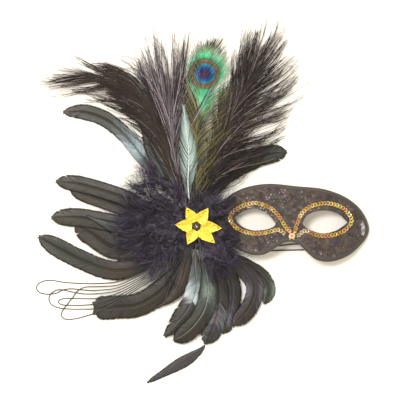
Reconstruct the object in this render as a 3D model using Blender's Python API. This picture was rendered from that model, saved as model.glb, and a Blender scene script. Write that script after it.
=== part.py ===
"""A half mask with a side spray of feathers, lying face up.

X runs along the mask, Y up the face and Z out of the mask's front. The origin is the middle of the
underside of the round felt backing behind the flower. Lengths below are in millimetres.
"""

import math

import bmesh
import bpy
from mathutils import Matrix, Vector
from mathutils.geometry import interpolate_bezier

MM = 0.001
GAP = 0.3

# The mask plate, in its own plan: u to the wearer's left, v up, zero at the bridge of the nose.
BRIDGE_PLACE = (101.8, -11.2)
MASK_TURN = math.radians(-5.5)
HALF_SPAN = 84.0
ARCH_HEIGHT = 24.0
ARCH_FOOT = 1.6
ARCH_STEP = 14.0
OUTLINE_POINTS = 60
HALF_OUTLINE = (
    (0.0, 54.0), (29.0, 53.8), (51.0, 48.6), (67.0, 40.0), (78.0, 28.5), (83.6, 15.5),
    (81.5, 6.0), (76.0, -2.0), (67.0, -11.8), (55.5, -19.0), (41.5, -23.2), (29.0, -22.2),
    (20.5, -17.2), (13.5, -11.4), (7.5, -7.2), (0.0, -5.4),
)
RIGHT_EYE = (
    ((9.6, 15.5), (12.7, 22.5), (20.0, 28.0), (34.0, 31.2), (48.0, 28.6), (58.8, 20.8)),
    ((54.0, 16.2), (45.0, 10.0), (33.0, 6.6), (20.0, 8.6), (12.5, 12.0)),
)
LEFT_EYE = (
    ((-18.2, 11.8), (-24.0, 18.6), (-32.0, 23.8), (-42.0, 25.8), (-53.0, 22.4), (-62.2, 14.8)),
    ((-58.0, 8.6), (-50.0, 4.2), (-40.0, 2.6), (-29.0, 4.6), (-21.0, 8.2)),
)
BINDING_WIDTH = 3.2
LINING = (0.0, 0.6)
FORM = (0.9, 2.4)
COVER = (2.7, 3.5)
BINDING = (-0.2, 4.1)
BRAID = (3.8, 5.6)
BRAID_WIDTH = 4.8
BRAID_POINTS = 40
RIGHT_BRAID = (
    (2.4, 6.0), (3.7, 12.4), (5.7, 20.0), (8.6, 26.6), (16.0, 33.6), (25.0, 37.4), (35.0, 39.2),
    (50.0, 36.6), (58.5, 30.4), (62.6, 23.6), (60.2, 16.4), (51.0, 8.8), (37.0, 4.4), (24.0, 4.8),
    (13.6, 8.0),
)
LEFT_BRAID = (
    (-3.2, 6.0), (-6.6, 8.4), (-12.0, 15.6), (-18.4, 23.0), (-27.5, 29.0), (-42.0, 32.0),
    (-54.5, 28.0), (-64.4, 20.6), (-67.2, 14.6), (-64.8, 8.4), (-57.0, 2.4), (-44.0, -0.6),
    (-31.0, 0.8), (-20.4, 4.4),
)
KNOT_SIZE = (7.0, 6.6, 2.6)
KNOT_PLACE = (-0.2, 0.9)
TAB_SIZE = (9.0, 8.0, 1.0)
TAB_PLACES = {"right": (73.5, 12.0), "left": (-73.0, 12.0)}

# The mount under the flower.
BACKING_RADIUS = 26.0
BACKING_DEPTH = 1.2
PAD_RADIUS = 13.5
PLUG_RADIUS = 6.5
PETAL_BOTTOM = 26.0
PETAL_DEPTH = 0.8
PETAL_RISE = 1.2
PETAL_WIDTH = 13.2
PETAL_ROOT = 4.6
PETAL_HOLE = 0.7
PETAL_HOLE_IN = 4.2
HOLE_SIDES = 8
# the petal's edge: share of its reach, share of its half width
PETAL_ROOT_SHARE = 0.4
PETAL_FLANK = ((0.30, 0.62), (0.48, 1.0), (0.72, 0.66))
PETALS = ((-4.7, 27.5), (56.7, 23.1), (118.0, 22.9), (175.9, 22.8), (244.0, 21.6), (317.6, 27.0))
BEAD_RADIUS = 3.7
BEAD_HEIGHT = 5.6

# The pile of feathers: each layer lies on the one below and sinks from the middle to the tips.
PILE_FOOT = 6.9
TIP_CLEARANCE = 0.9
PILE_REACH = 170.0
LAYER_PITCH = 1.8
TIP_SHARE = 0.5
LAYER_GAP = 0.45
QUILL_HALF = 1.2
FEATHER_STEP = 11.0

# name, layer, half width, shape, route from the quill to the tip
COQUE_FEATHERS = (
    ("coque_01", 0, 7.5, "round", ((6, 9), (21, 38), (37, 57), (56, 66), (72, 71))),
    ("coque_02", 1, 10.0, "round", ((4, 10), (20, 41), (47, 65), (74, 76), (97, 80))),
    ("coque_03", 2, 10.0, "point", ((-8, 9), (-33, 55), (-49, 86), (-61, 117))),
    ("coque_04", 1, 8.5, "round",
     ((-9, 7), (-39, 50), (-60, 77), (-77, 98), (-98, 115), (-121, 123), (-143, 123))),
    ("coque_05", 2, 9.0, "round", ((-11, 3), (-40, 14), (-66, 26), (-94, 36), (-126, 45), (-151, 48))),
    ("coque_06", 1, 8.5, "round", ((-11, 1), (-45, 8), (-83, 21), (-112, 31), (-136, 39))),
    ("coque_07", 3, 8.0, "point", ((-11, 0), (-40, -5), (-66, -6), (-93, 0), (-118, 10))),
    ("coque_08", 2, 10.0, "round", ((-11, -1), (-44, -3), (-75, 0), (-101, 5), (-127, 9), (-156, 9))),
    ("coque_09", 1, 13.0, "round", ((-11, -3), (-38, -14), (-66, -24), (-92, -22), (-112, -9), (-131, 1))),
    ("coque_10", 0, 10.5, "round",
     ((-10, -5), (-34, -26), (-61, -44), (-92, -48), (-124, -37), (-153, -22), (-170, -12))),
    ("coque_11", 1, 13.0, "blunt", ((-7, -9), (-20, -42), (-36, -68), (-62, -85), (-88, -88), (-111, -89))),
    ("coque_12", 2, 9.0, "point", ((-4, -11), (-12, -44), (-18, -64), (-28, -78), (-42, -88))),
    ("coque_13", 3, 8.0, "point", ((0, -11), (-1, -40), (0, -66), (-7, -86), (-20, -104), (-34, -119))),
    ("coque_14", 4, 9.0, "round", ((2, -11), (9, -42), (13, -68), (8, -92), (-7, -112), (-24, -124))),
    ("coque_15", 0, 6.5, "point",
     ((1, -11), (9, -70), (14, -108), (9, -129), (-4, -141), (-26, -154), (-52, -169))),
    ("coque_16", 2, 9.5, "round", ((4, -11), (17, -44), (24, -72), (21, -100), (10, -127))),
    ("coque_17", 1, 9.0, "round", ((7, -9), (28, -40), (38, -66), (36, -93), (28, -116))),
    ("coque_18", 3, 9.5, "round", ((9, -8), (34, -32), (54, -50), (63, -66), (57, -88), (40, -107))),
    ("coque_19", 0, 7.5, "round", ((10, -7), (30, -29), (54, -43), (71, -54), (78, -68), (74, -84))),
)
# name, height offset in the pile, depth, half width, shape, route
SHOW_FEATHERS = (
    ("ostrich_plume_tall", 5.6, 3.2, 34.0, "fan",
     ((-5, 10), (-18, 50), (-27, 104), (-33, 158), (-36, 200))),
    ("ostrich_plume_right", 5.6, 3.2, 30.0, "fan", ((2, 11), (12, 52), (35, 112), (60, 166), (80, 212))),
    ("ostrich_plume_curled", 9.2, 2.6, 17.0, "round",
     ((-7, 9), (-23, 53), (-40, 104), (-58, 138), (-80, 153), (-106, 161), (-132, 160), (-156, 154),
      (-176, 148))),
    ("peacock_feather", 9.2, 2.4, 19.0, "spoon", ((0, 12), (0, 60), (1, 112), (7, 150), (11, 192))),
    ("silver_hackle", 12.2, 1.35, 9.5, "point", ((-6, 14), (-9, 45), (-8, 75), (-11, 104), (-14, 131))),
)
# azimuth, reach and half width of each tuft of down
MARABOU_OFFSET = 14.2
MARABOU_DEPTH = 4.0
MARABOU_TUFTS = (
    (148.0, 94.0, 11.5), (179.0, 97.0, 11.5), (210.0, 84.0, 11.5), (292.0, 68.0, 13.0),
    (334.0, 48.0, 10.0), (38.0, 50.0, 9.0), (80.0, 52.0, 8.0),
)
MARABOU_START = 12.0

# Cords. Every route runs from one end to the other.
LOOP_CORD = 1.1
ELASTIC_CORD = 1.5
WRAP_OFFSET = 9.2
WRAP_DEPTH = 1.8
WRAP_RADII = (9.4, 13.9)
WRAP_ARC = (217.0, 279.0)
LOOP_POINTS = 52
LOOP_CORDS = {
    "loop_cord_1": (
        (-10.8, -9.4, 16.8), (-28.2, -31.6, 12.4), (-43.5, -42.6, 9.6), (-61, -51.5, 7.6),
        (-84, -60, 5.0), (-108, -62.5, 1.2), (-126, -62.3, 0.8), (-143, -61.2, 0.7), (-158, -59, 0.7),
        (-167, -60.5, 0.7), (-173, -66, 0.7), (-170, -72, 0.7), (-161, -74, 0.7), (-151, -72.8, 0.7),
        (-144, -69.2, 0.7), (-134, -68.2, 0.7), (-121, -69.6, 0.8), (-108, -69.6, 4.4), (-84, -66.6, 5.8),
        (-60, -55.2, 7.8), (-41.5, -45.4, 9.6), (-25.5, -33.8, 12.2), (-8.6, -11.4, 16.8),
    ),
    "loop_cord_2": (
        (-7.4, -12.3, 16.8), (-24.2, -34.9, 12.2), (-40.5, -46.8, 9.6), (-59.5, -57, 7.8),
        (-84, -69.6, 5.8), (-108, -73.2, 4.6), (-122, -73.6, 1.8), (-131, -72.2, 1.6), (-140, -70.2, 2.2),
        (-149, -69, 2.4), (-156, -72, 2.2), (-159.5, -78, 0.9), (-157.5, -84.5, 0.7), (-150, -88.5, 0.7),
        (-139, -90, 0.7), (-124, -90.2, 1.0), (-108, -88.8, 4.4), (-84, -78.2, 5.8), (-57.5, -62.2, 7.8),
        (-37.5, -51, 9.6), (-20.1, -38.2, 12.2), (-3.2, -13.9, 16.8),
    ),
    "loop_cord_3": (
        (-6.0, -13.0, 16.8), (-22.8, -36, 12.2), (-39.5, -48.2, 9.6), (-58.8, -58.8, 7.8),
        (-84, -72.5, 5.8), (-108, -78.2, 4.5), (-124, -78.8, 1.2), (-138, -78.6, 0.7), (-146, -79.4, 0.7),
        (-149.5, -82.2, 0.7), (-146, -85.2, 0.7), (-137, -86.2, 0.7), (-124, -86, 1.0), (-108, -83.8, 4.4),
        (-84, -75.4, 5.8), (-58.1, -60.5, 7.8), (-38.5, -49.6, 9.6), (-21.5, -37.1, 12.2),
        (-4.7, -13.5, 16.8),
    ),
    "loop_cord_4": (
        (-9.8, -10.4, 16.8), (-26.9, -32.7, 12.2), (-42.5, -44, 9.6), (-60.5, -53.4, 7.8),
        (-84, -63.6, 5.8), (-106, -65.6, 4.0), (-120, -66.2, 3.0), (-128, -69.8, 3.4), (-133, -76.4, 2.8),
        (-138.5, -83.4, 2.4), (-144, -90.6, 2.3), (-146, -97, 0.8), (-141.5, -101.2, 0.7),
        (-130, -100.4, 0.7),
        (-119, -97.4, 1.6), (-108, -93.4, 4.4), (-84, -81, 5.8), (-57, -64, 7.8), (-36.5, -52.4, 9.6),
        (-18.8, -39.3, 12.2), (-1.7, -14.2, 16.8),
    ),
}
SIDE_CORDS = {
    "side_cord_1": (
        (-0.2, -14.3, 16.8), (-17, -41.5, 12.2), (-24, -56, 10.4), (-30, -69, 9.2), (-34.5, -84, 8.2),
    ),
    "side_cord_2": ((1.2, -14.2, 16.8), (-15.2, -43, 12.2), (-20.5, -55, 10.4), (-24, -67, 9.4)),
}
SIDE_POINTS = 14
ELASTIC_ROUTE = (
    (168.0, -6.2, 8.4), (159, -11.6, 2.8), (148, -17.4, 1.2), (136, -22.6, 0.9), (124, -25.4, 0.9),
    (108, -26.2, 0.9), (92, -26.6, 0.9), (76, -27.2, 0.9), (60, -27.4, 0.9), (51.5, -26.2, 0.9),
    (47.8, -22.8, 0.9), (51.5, -19.4, 0.9), (60, -19.2, 0.9), (74, -21.2, 0.9), (90, -21.4, 0.9),
    (106, -19.8, 0.9), (118, -20.2, 0.9), (127, -20.6, 0.9), (131.4, -17.6, 0.9), (128, -13.6, 0.9),
    (116, -10.4, 0.9), (98, -7.8, 0.9), (80, -7.6, 0.9), (62, -8.2, 0.9), (48, -3.4, 1.4),
    (41, 1.4, 4.4), (35.8, 5.4, 8.0),
)
ELASTIC_POINTS = 48

# how finely routes are read and small solids are divided
ROUTE_SAMPLES = 24
TUFT_STEPS = 10
TUFT_SIDES = 8
WRAP_STEPS = 12
BLOCK_BEVEL = 0.18

COLOURS = {
    "sequin_fabric": ((0.020, 0.016, 0.017), 0.35, 0.0),
    "satin_binding": ((0.014, 0.013, 0.014), 0.42, 0.0),
    "lining_fabric": ((0.030, 0.028, 0.030), 0.90, 0.0),
    "stiff_card": ((0.32, 0.27, 0.20), 0.85, 0.0),
    "gold_braid": ((0.78, 0.50, 0.10), 0.35, 0.6),
    "coque_barb": ((0.028, 0.032, 0.026), 0.45, 0.0),
    "ostrich_barb": ((0.030, 0.022, 0.024), 0.75, 0.0),
    "peacock_barb": ((0.050, 0.140, 0.070), 0.40, 0.1),
    "silver_barb": ((0.42, 0.50, 0.49), 0.45, 0.0),
    "marabou_down": ((0.028, 0.022, 0.034), 0.85, 0.0),
    "gold_petal": ((0.88, 0.66, 0.04), 0.38, 0.3),
    "dark_bead": ((0.16, 0.14, 0.12), 0.22, 0.8),
    "black_felt": ((0.020, 0.019, 0.020), 0.95, 0.0),
    "black_cord": ((0.018, 0.017, 0.018), 0.65, 0.0),
}


def clear_scene():
    for old in list(bpy.data.objects):
        bpy.data.objects.remove(old, do_unlink=True)


def material(name):
    found = bpy.data.materials.get(name)
    if found:
        return found
    made = bpy.data.materials.new(name)
    made.use_nodes = True
    colour, roughness, metallic = COLOURS[name]
    shader = made.node_tree.nodes["Principled BSDF"]
    shader.inputs["Base Color"].default_value = (*colour, 1.0)
    shader.inputs["Roughness"].default_value = roughness
    shader.inputs["Metallic"].default_value = metallic
    return made


def finish(name, mesh, finish_name, smooth_angle=40):
    """Turns a bmesh in millimetres into a named object in metres."""
    bmesh.ops.scale(mesh, vec=(MM, MM, MM), verts=mesh.verts)
    bmesh.ops.recalc_face_normals(mesh, faces=mesh.faces)
    data = bpy.data.meshes.new(name)
    mesh.to_mesh(data)
    mesh.free()
    data.shade_smooth()
    data.set_sharp_from_angle(angle=math.radians(smooth_angle))
    data.materials.append(material(finish_name))
    made = bpy.data.objects.new(name, data)
    bpy.context.scene.collection.objects.link(made)
    return made


def smooth_line(points, samples=8, closed=False):
    """A smooth curve through the points, as samples per span."""
    points = [Vector(p) for p in points]
    count = len(points)
    line = []
    for i in range(count if closed else count - 1):
        before = points[(i - 1) % count] if closed or i else points[0]
        start, end = points[i], points[(i + 1) % count]
        after = points[(i + 2) % count] if closed or i + 2 < count else points[-1]
        reach = (end - start).length / 3
        leave = (end - before).normalized() * reach
        arrive = (after - start).normalized() * reach
        line += interpolate_bezier(start, start + leave, end - arrive, end, samples + 1)[:-1]
    if not closed:
        line.append(points[-1])
    return line


def even_line(points, count, closed=False):
    """The curve through the points, read at count evenly spaced places."""
    dense = smooth_line(points, ROUTE_SAMPLES, closed)
    if closed:
        dense.append(dense[0])
    travelled = [0.0]
    for a, b in zip(dense, dense[1:]):
        travelled.append(travelled[-1] + (b - a).length)
    parts = count if closed else count - 1
    line = []
    at = 0
    for i in range(count):
        wanted = travelled[-1] * i / parts
        while at < len(travelled) - 2 and travelled[at + 1] < wanted:
            at += 1
        share = (wanted - travelled[at]) / (travelled[at + 1] - travelled[at])
        line.append(dense[at].lerp(dense[at + 1], min(share, 1.0)))
    return line


def line_length(points):
    dense = smooth_line(points, ROUTE_SAMPLES)
    return sum((b - a).length for a, b in zip(dense, dense[1:]))


def inset(loop, distance):
    """A closed plan loop that runs anticlockwise, moved inwards."""
    moved = []
    for i, here in enumerate(loop):
        along = (loop[(i + 1) % len(loop)] - loop[i - 1]).normalized()
        moved.append(here + Vector((-along.y, along.x, 0)) * distance)
    return moved


def arch(u):
    return ARCH_FOOT + ARCH_HEIGHT * (1 - (u / HALF_SPAN) ** 2)


def mask_to_world(point):
    """Lifts a point of the mask's plan by the arch and puts it where the mask lies."""
    lifted = Vector((point.x, point.y, point.z + arch(point.x)))
    turned = Matrix.Rotation(MASK_TURN, 3, "Z") @ lifted
    return turned + Vector((*BRIDGE_PLACE, 0))


def mask_outline():
    left = [(-u, v) for u, v in reversed(HALF_OUTLINE[1:-1])]
    outline = [Vector((u, v, 0)) for u, v in (*HALF_OUTLINE, *left)]
    outline.reverse()
    return even_line(outline, OUTLINE_POINTS, closed=True)


def eye_outline(upper_and_lower):
    upper, lower = upper_and_lower
    top = smooth_line([(*p, 0) for p in upper], 3)
    bottom = smooth_line([(*p, 0) for p in (upper[-1], *lower, upper[0])], 3)
    return top[:-1] + bottom[:-1]


def plate(name, loops, levels, finish_name):
    """A flat sheet between plan loops, cut across at even steps and bent to the arch."""
    mesh = bmesh.new()
    for loop in loops:
        corners = [mesh.verts.new(p) for p in loop]
        for i, corner in enumerate(corners):
            mesh.edges.new((corners[i - 1], corner))
    bmesh.ops.triangle_fill(mesh, edges=mesh.edges, use_beauty=True)
    cuts = int(HALF_SPAN // ARCH_STEP)
    for i in range(-cuts, cuts + 1):
        everything = [*mesh.verts, *mesh.edges, *mesh.faces]
        place = (i * ARCH_STEP, 0, 0)
        bmesh.ops.bisect_plane(mesh, geom=everything, plane_co=place, plane_no=(1, 0, 0), dist=1e-4)
    low, high = levels
    for vert in mesh.verts:
        vert.co.z = low
    raised = bmesh.ops.extrude_face_region(mesh, geom=mesh.faces[:])["geom"]
    for item in raised:
        if isinstance(item, bmesh.types.BMVert):
            item.co.z = high
    for vert in mesh.verts:
        vert.co = mask_to_world(vert.co)
    return finish(name, mesh, finish_name)


def loft(sections):
    """A closed solid through rings of points, all of one count."""
    mesh = bmesh.new()
    rings = [[mesh.verts.new(p) for p in section] for section in sections]
    for a, b in zip(rings, rings[1:]):
        for i in range(len(a)):
            mesh.faces.new((a[i - 1], a[i], b[i], b[i - 1]))
    mesh.faces.new(rings[0])
    mesh.faces.new(list(reversed(rings[-1])))
    return mesh


def plan_normal(line, i):
    ahead = line[min(i + 1, len(line) - 1)]
    behind = line[max(i - 1, 0)]
    along = ahead - behind
    return Vector((-along.y, along.x, 0)).normalized()


def braid(name, route):
    line = even_line([(*p, 0) for p in route], BRAID_POINTS)
    low, high = BRAID
    sections = []
    for i, here in enumerate(line):
        side = plan_normal(line, i) * BRAID_WIDTH / 2
        corners = ((-1, low), (1, low), (1, high), (-1, high))
        section = [here + side * sign + Vector((0, 0, level)) for sign, level in corners]
        sections.append([mask_to_world(p) for p in section])
    return finish(name, loft(sections), "gold_braid")


def mask_block(name, place, size, level, finish_name):
    """A small cushion-shaped block that follows the arch."""
    mesh = bmesh.new()
    bmesh.ops.create_cube(mesh, size=1.0)
    bmesh.ops.bevel(mesh, geom=mesh.edges[:], offset=BLOCK_BEVEL, segments=2, affect="EDGES", profile=0.5)
    for vert in mesh.verts:
        local = Vector([part * side for part, side in zip(vert.co, size)])
        vert.co = mask_to_world(local + Vector((*place, level + size[2] / 2)))
    return finish(name, mesh, finish_name)


def fall(radius):
    return 0.5 * (1 + math.cos(math.pi * min(radius / PILE_REACH, 1.0)))


def layer_scale(radius):
    return TIP_SHARE + (1 - TIP_SHARE) * fall(radius)


def pile_height(radius, offset):
    """Height of a level of the pile that lies offset above its foot at the middle."""
    foot = TIP_CLEARANCE + (PILE_FOOT - TIP_CLEARANCE) * fall(radius)
    return foot + offset * layer_scale(radius)


def ease(start, end, value):
    share = min(max((value - start) / (end - start), 0.0), 1.0)
    return share * share * (3 - 2 * share)


def width_share(shape, share):
    """Half width along a feather, from 0 at the quill to 1 at the tip, as a share of the widest."""
    if shape == "fan":
        return (0.10 + 0.90 * ease(0.05, 0.85, share)) * (1 - 0.35 * ease(0.88, 1.0, share))
    if shape == "spoon":
        body = 0.25 + 0.30 * ease(0.0, 0.45, share) + 0.45 * ease(0.60, 0.80, share)
        return body * math.sqrt(max(1 - ease(0.80, 1.02, share) ** 2, 0.02))
    body = ease(0.10, 0.52, share)
    if shape == "round":
        return body * math.sqrt(max(1 - max((share - 0.86) / 0.14, 0.0) ** 2, 0.03))
    if shape == "blunt":
        return body * math.sqrt(max(1 - max((share - 0.94) / 0.06, 0.0) ** 2, 0.30))
    return body * math.sqrt(max(1 - ease(0.50, 1.0, share), 0.02))


def feather(name, offset, depth, half_width, shape, route, finish_name):
    """A lens-shaped blade that follows its layer of the pile."""
    length = line_length([(*p, 0) for p in route])
    count = max(int(length / FEATHER_STEP), 8) + 4
    line = even_line([(*p, 0) for p in route], count)
    sections = []
    for i, here in enumerate(line):
        half = max(half_width * width_share(shape, i / (count - 1)), QUILL_HALF)
        side = plan_normal(line, i) * half
        radius = here.length
        thick = (depth + LAYER_GAP) * layer_scale(radius) - LAYER_GAP
        low = pile_height(radius, offset)
        edges = []
        for edge in (here - side, here + side):
            edges.append(Vector((edge.x, edge.y, pile_height(edge.length, offset) + 0.45 * thick)))
        keel = Vector((here.x, here.y, low))
        ridge = Vector((here.x, here.y, low + thick))
        sections.append((edges[0], keel, edges[1], ridge))
    return finish(name, loft(sections), finish_name, 60)


def marabou(name, azimuth, reach, half_width):
    direction = Vector((math.cos(math.radians(azimuth)), math.sin(math.radians(azimuth)), 0))
    route = [direction * (MARABOU_START + (reach - MARABOU_START) * i / 4) for i in range(5)]
    side = Vector((-direction.y, direction.x, 0))
    sections = []
    line = even_line(route, TUFT_STEPS)
    for i, here in enumerate(line):
        share = i / (TUFT_STEPS - 1)
        half = half_width * (0.22 + 0.78 * ease(0.0, 0.45, share)) * math.sqrt(max(1 - share**4, 0.04))
        thick = MARABOU_DEPTH * layer_scale(here.length) * (1 - 0.6 * ease(0.4, 1.0, share))
        ring = []
        for k in range(TUFT_SIDES):
            turn = 2 * math.pi * k / TUFT_SIDES
            spot = here + side * half * math.cos(turn)
            level = pile_height(spot.length, MARABOU_OFFSET) + thick * 0.5 * (1 + math.sin(turn))
            ring.append(Vector((spot.x, spot.y, level)))
        sections.append(ring)
    return finish(name, loft(sections), "marabou_down", 80)


def disc(name, radius, bottom, top, finish_name, segments=40, bevel=0.3):
    mesh = bmesh.new()
    sizes = {"radius1": radius, "radius2": radius, "depth": top - bottom}
    bmesh.ops.create_cone(mesh, cap_ends=True, segments=segments, **sizes)
    rims = [e for e in mesh.edges if abs(e.verts[0].co.z - e.verts[1].co.z) < 1e-6]
    bmesh.ops.bevel(mesh, geom=rims, offset=bevel, segments=1, affect="EDGES", profile=0.5)
    bmesh.ops.translate(mesh, verts=mesh.verts, vec=(0, 0, (top + bottom) / 2))
    return finish(name, mesh, finish_name)


def petal(name, azimuth, reach, bottom):
    """A pointed leaf with a stitch hole near its tip."""
    half = PETAL_WIDTH / 2
    flank = [(PETAL_ROOT, -PETAL_ROOT_SHARE * half, 0)]
    flank += [(along * reach, -wide * half, 0) for along, wide in PETAL_FLANK]
    flank.append((reach, 0, 0))
    outline = smooth_line(flank, 3)
    outline += [Vector((p.x, -p.y, 0)) for p in reversed(outline[:-1])]
    hole = []
    middle = Vector((reach - PETAL_HOLE_IN, 0, 0))
    for i in range(HOLE_SIDES):
        turn = 2 * math.pi * i / HOLE_SIDES
        hole.append(Vector((math.cos(turn), math.sin(turn), 0)) * PETAL_HOLE + middle)
    mesh = bmesh.new()
    for loop in (outline, hole):
        corners = [mesh.verts.new(p) for p in loop]
        for i, corner in enumerate(corners):
            mesh.edges.new((corners[i - 1], corner))
    bmesh.ops.triangle_fill(mesh, edges=mesh.edges, use_beauty=True)
    raised = bmesh.ops.extrude_face_region(mesh, geom=mesh.faces[:])["geom"]
    top = [item for item in raised if isinstance(item, bmesh.types.BMVert)]
    bmesh.ops.translate(mesh, verts=top, vec=(0, 0, PETAL_DEPTH))
    place = Matrix.Translation((0, 0, bottom)) @ Matrix.Rotation(math.radians(azimuth), 4, "Z")
    bmesh.ops.transform(mesh, matrix=place, verts=mesh.verts)
    return finish(name, mesh, "gold_petal")


def bead():
    mesh = bmesh.new()
    bmesh.ops.create_uvsphere(mesh, u_segments=20, v_segments=12, radius=1.0)
    bottom = PETAL_BOTTOM + PETAL_RISE + PETAL_DEPTH + GAP
    for vert in mesh.verts:
        vert.co.x *= BEAD_RADIUS
        vert.co.y *= BEAD_RADIUS
        vert.co.z = bottom + (vert.co.z + 1) * BEAD_HEIGHT / 2
    return finish("centre_bead", mesh, "dark_bead", 60)


def cord_wrap():
    """The bound block that holds the ends of the loop cords."""
    inner, outer = WRAP_RADII
    bottom = pile_height(outer, WRAP_OFFSET) + 0.1
    sections = []
    for i in range(WRAP_STEPS + 1):
        turn = math.radians(WRAP_ARC[0] + (WRAP_ARC[1] - WRAP_ARC[0]) * i / WRAP_STEPS)
        out = Vector((math.cos(turn), math.sin(turn), 0))
        top = bottom + WRAP_DEPTH
        corners = ((inner, bottom), (outer, bottom), (outer, top), (inner, top))
        sections.append([out * r + Vector((0, 0, z)) for r, z in corners])
    return finish("cord_wrap", loft(sections), "black_felt")


def cord(name, route, thickness, count):
    """A round cord as a curve with filled ends."""
    data = bpy.data.curves.new(name, "CURVE")
    data.dimensions = "3D"
    data.bevel_depth = thickness / 2 * MM
    data.bevel_resolution = 2
    data.use_fill_caps = True
    spline = data.splines.new("POLY")
    line = even_line(route, count)
    spline.points.add(len(line) - 1)
    for point, here in zip(spline.points, line):
        point.co = (*(here * MM), 1.0)
    data.materials.append(material("black_cord"))
    made = bpy.data.objects.new(name, data)
    bpy.context.scene.collection.objects.link(made)
    return made


def build_mask():
    outline = mask_outline()
    body = inset(outline, BINDING_WIDTH + GAP)
    eyes = [eye_outline(RIGHT_EYE), eye_outline(LEFT_EYE)]
    plate("mask_lining", [body, *eyes], LINING, "lining_fabric")
    plate("mask_form", [body, *eyes], FORM, "stiff_card")
    plate("mask_cover", [body, *eyes], COVER, "sequin_fabric")
    plate("edge_binding", [outline, inset(outline, BINDING_WIDTH)], BINDING, "satin_binding")
    braid("eye_braid_right", RIGHT_BRAID)
    braid("eye_braid_left", LEFT_BRAID)
    mask_block("braid_knot", KNOT_PLACE, KNOT_SIZE, BRAID[0], "gold_braid")
    for side, place in TAB_PLACES.items():
        mask_block(f"elastic_tab_{side}", place, TAB_SIZE, -TAB_SIZE[2] - GAP, "lining_fabric")


def build_flower():
    disc("felt_backing", BACKING_RADIUS, 0.0, BACKING_DEPTH, "black_felt")
    disc("quill_pad", PAD_RADIUS, BACKING_DEPTH + GAP, PILE_FOOT - 2 * GAP, "stiff_card", 28)
    disc("flower_plug", PLUG_RADIUS, PILE_FOOT - GAP, PETAL_BOTTOM - GAP, "black_felt", 20)
    for i, (azimuth, reach) in enumerate(PETALS):
        petal(f"petal_{i + 1}", azimuth, reach, PETAL_BOTTOM + PETAL_RISE * (i % 2))
    bead()


def build_feathers():
    for name, layer, half_width, shape, route in COQUE_FEATHERS:
        depth = LAYER_PITCH - LAYER_GAP
        feather(name, layer * LAYER_PITCH, depth, half_width, shape, route, "coque_barb")
    finishes = {"peacock_feather": "peacock_barb", "silver_hackle": "silver_barb"}
    for name, offset, depth, half_width, shape, route in SHOW_FEATHERS:
        feather(name, offset, depth, half_width, shape, route, finishes.get(name, "ostrich_barb"))
    for i, (azimuth, reach, half_width) in enumerate(MARABOU_TUFTS):
        marabou(f"marabou_{i + 1}", azimuth, reach, half_width)


def build_cords():
    cord_wrap()
    for name, route in LOOP_CORDS.items():
        cord(name, route, LOOP_CORD, LOOP_POINTS)
    for name, route in SIDE_CORDS.items():
        cord(name, route, LOOP_CORD, SIDE_POINTS)
    cord("elastic_cord", ELASTIC_ROUTE, ELASTIC_CORD, ELASTIC_POINTS)


clear_scene()
build_mask()
build_flower()
build_feathers()
build_cords()
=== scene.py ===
import math
import random

import bpy
from mathutils import Matrix, Vector
from mathutils.geometry import interpolate_bezier


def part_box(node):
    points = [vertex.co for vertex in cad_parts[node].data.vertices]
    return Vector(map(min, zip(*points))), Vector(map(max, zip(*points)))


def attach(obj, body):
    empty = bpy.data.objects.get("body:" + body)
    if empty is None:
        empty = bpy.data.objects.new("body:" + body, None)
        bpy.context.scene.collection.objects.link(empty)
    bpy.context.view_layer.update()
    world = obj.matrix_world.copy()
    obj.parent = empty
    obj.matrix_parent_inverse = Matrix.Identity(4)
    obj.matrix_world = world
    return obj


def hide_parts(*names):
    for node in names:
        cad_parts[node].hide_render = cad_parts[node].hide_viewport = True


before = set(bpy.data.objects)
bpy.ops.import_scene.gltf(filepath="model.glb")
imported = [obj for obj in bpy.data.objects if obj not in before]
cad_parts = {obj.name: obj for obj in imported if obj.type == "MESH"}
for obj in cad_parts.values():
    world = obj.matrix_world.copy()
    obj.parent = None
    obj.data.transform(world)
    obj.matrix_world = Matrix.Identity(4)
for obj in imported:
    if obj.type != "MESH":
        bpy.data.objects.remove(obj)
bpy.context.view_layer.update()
mm = 0.001
upwards = Vector((0, 0, 1))

# camera straight above the table, light from the upper left
studio = {
    "lens": 150.0,
    "sensor": 36.0,
    "field": 0.433,
    "aim": (0.0039, 0.0279),
    "keyPlace": (-0.30, 0.34, 1.45),
    "keySize": 0.34,
    "keyPower": 16.0,
    "fillPlace": (0.6, 0.9, 1.3),
    "fillSize": 1.2,
    "fillPower": 5.0,
    "skyColour": (1.0, 0.915, 0.77),
    "skyStrength": 0.98,
    "floorSize": 7.0,
    "floorColour": (0.93, 0.905, 0.85),
}

# the pile of feathers: each layer lies on the one below and sinks from the middle to the tips
pile = {"foot": 6.9, "tipClear": 0.9, "reach": 170.0, "tipShare": 0.5, "layerPitch": 1.8, "gap": 0.45}


def fallOff(radius):
    return 0.5 * (1 + math.cos(math.pi * min(radius / pile["reach"], 1.0)))


def layerScale(radius):
    return pile["tipShare"] + (1 - pile["tipShare"]) * fallOff(radius)


def pileHeight(radius, offset):
    foot = pile["tipClear"] + (pile["foot"] - pile["tipClear"]) * fallOff(radius)
    return foot + offset * layerScale(radius)


def ease(start, end, value):
    share = min(max((value - start) / (end - start), 0.0), 1.0)
    return share * share * (3 - 2 * share)


def smoothLine(points, samples=8, closed=False, corners=()):
    points = [Vector(p) for p in points]
    count = len(points)
    line = []
    for i in range(count if closed else count - 1):
        here, there = points[i], points[(i + 1) % count]
        before = points[(i - 1) % count] if closed or i else here
        after = points[(i + 2) % count] if closed or i + 2 < count else there
        if i in corners:
            before = here
        if (i + 1) % count in corners:
            after = there
        reach = (there - here).length / 3
        leave = here + (there - before).normalized() * reach
        arrive = there - (after - here).normalized() * reach
        line += interpolate_bezier(here, leave, arrive, there, samples + 1)[:-1]
    if not closed:
        line.append(points[-1])
    return line


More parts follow.
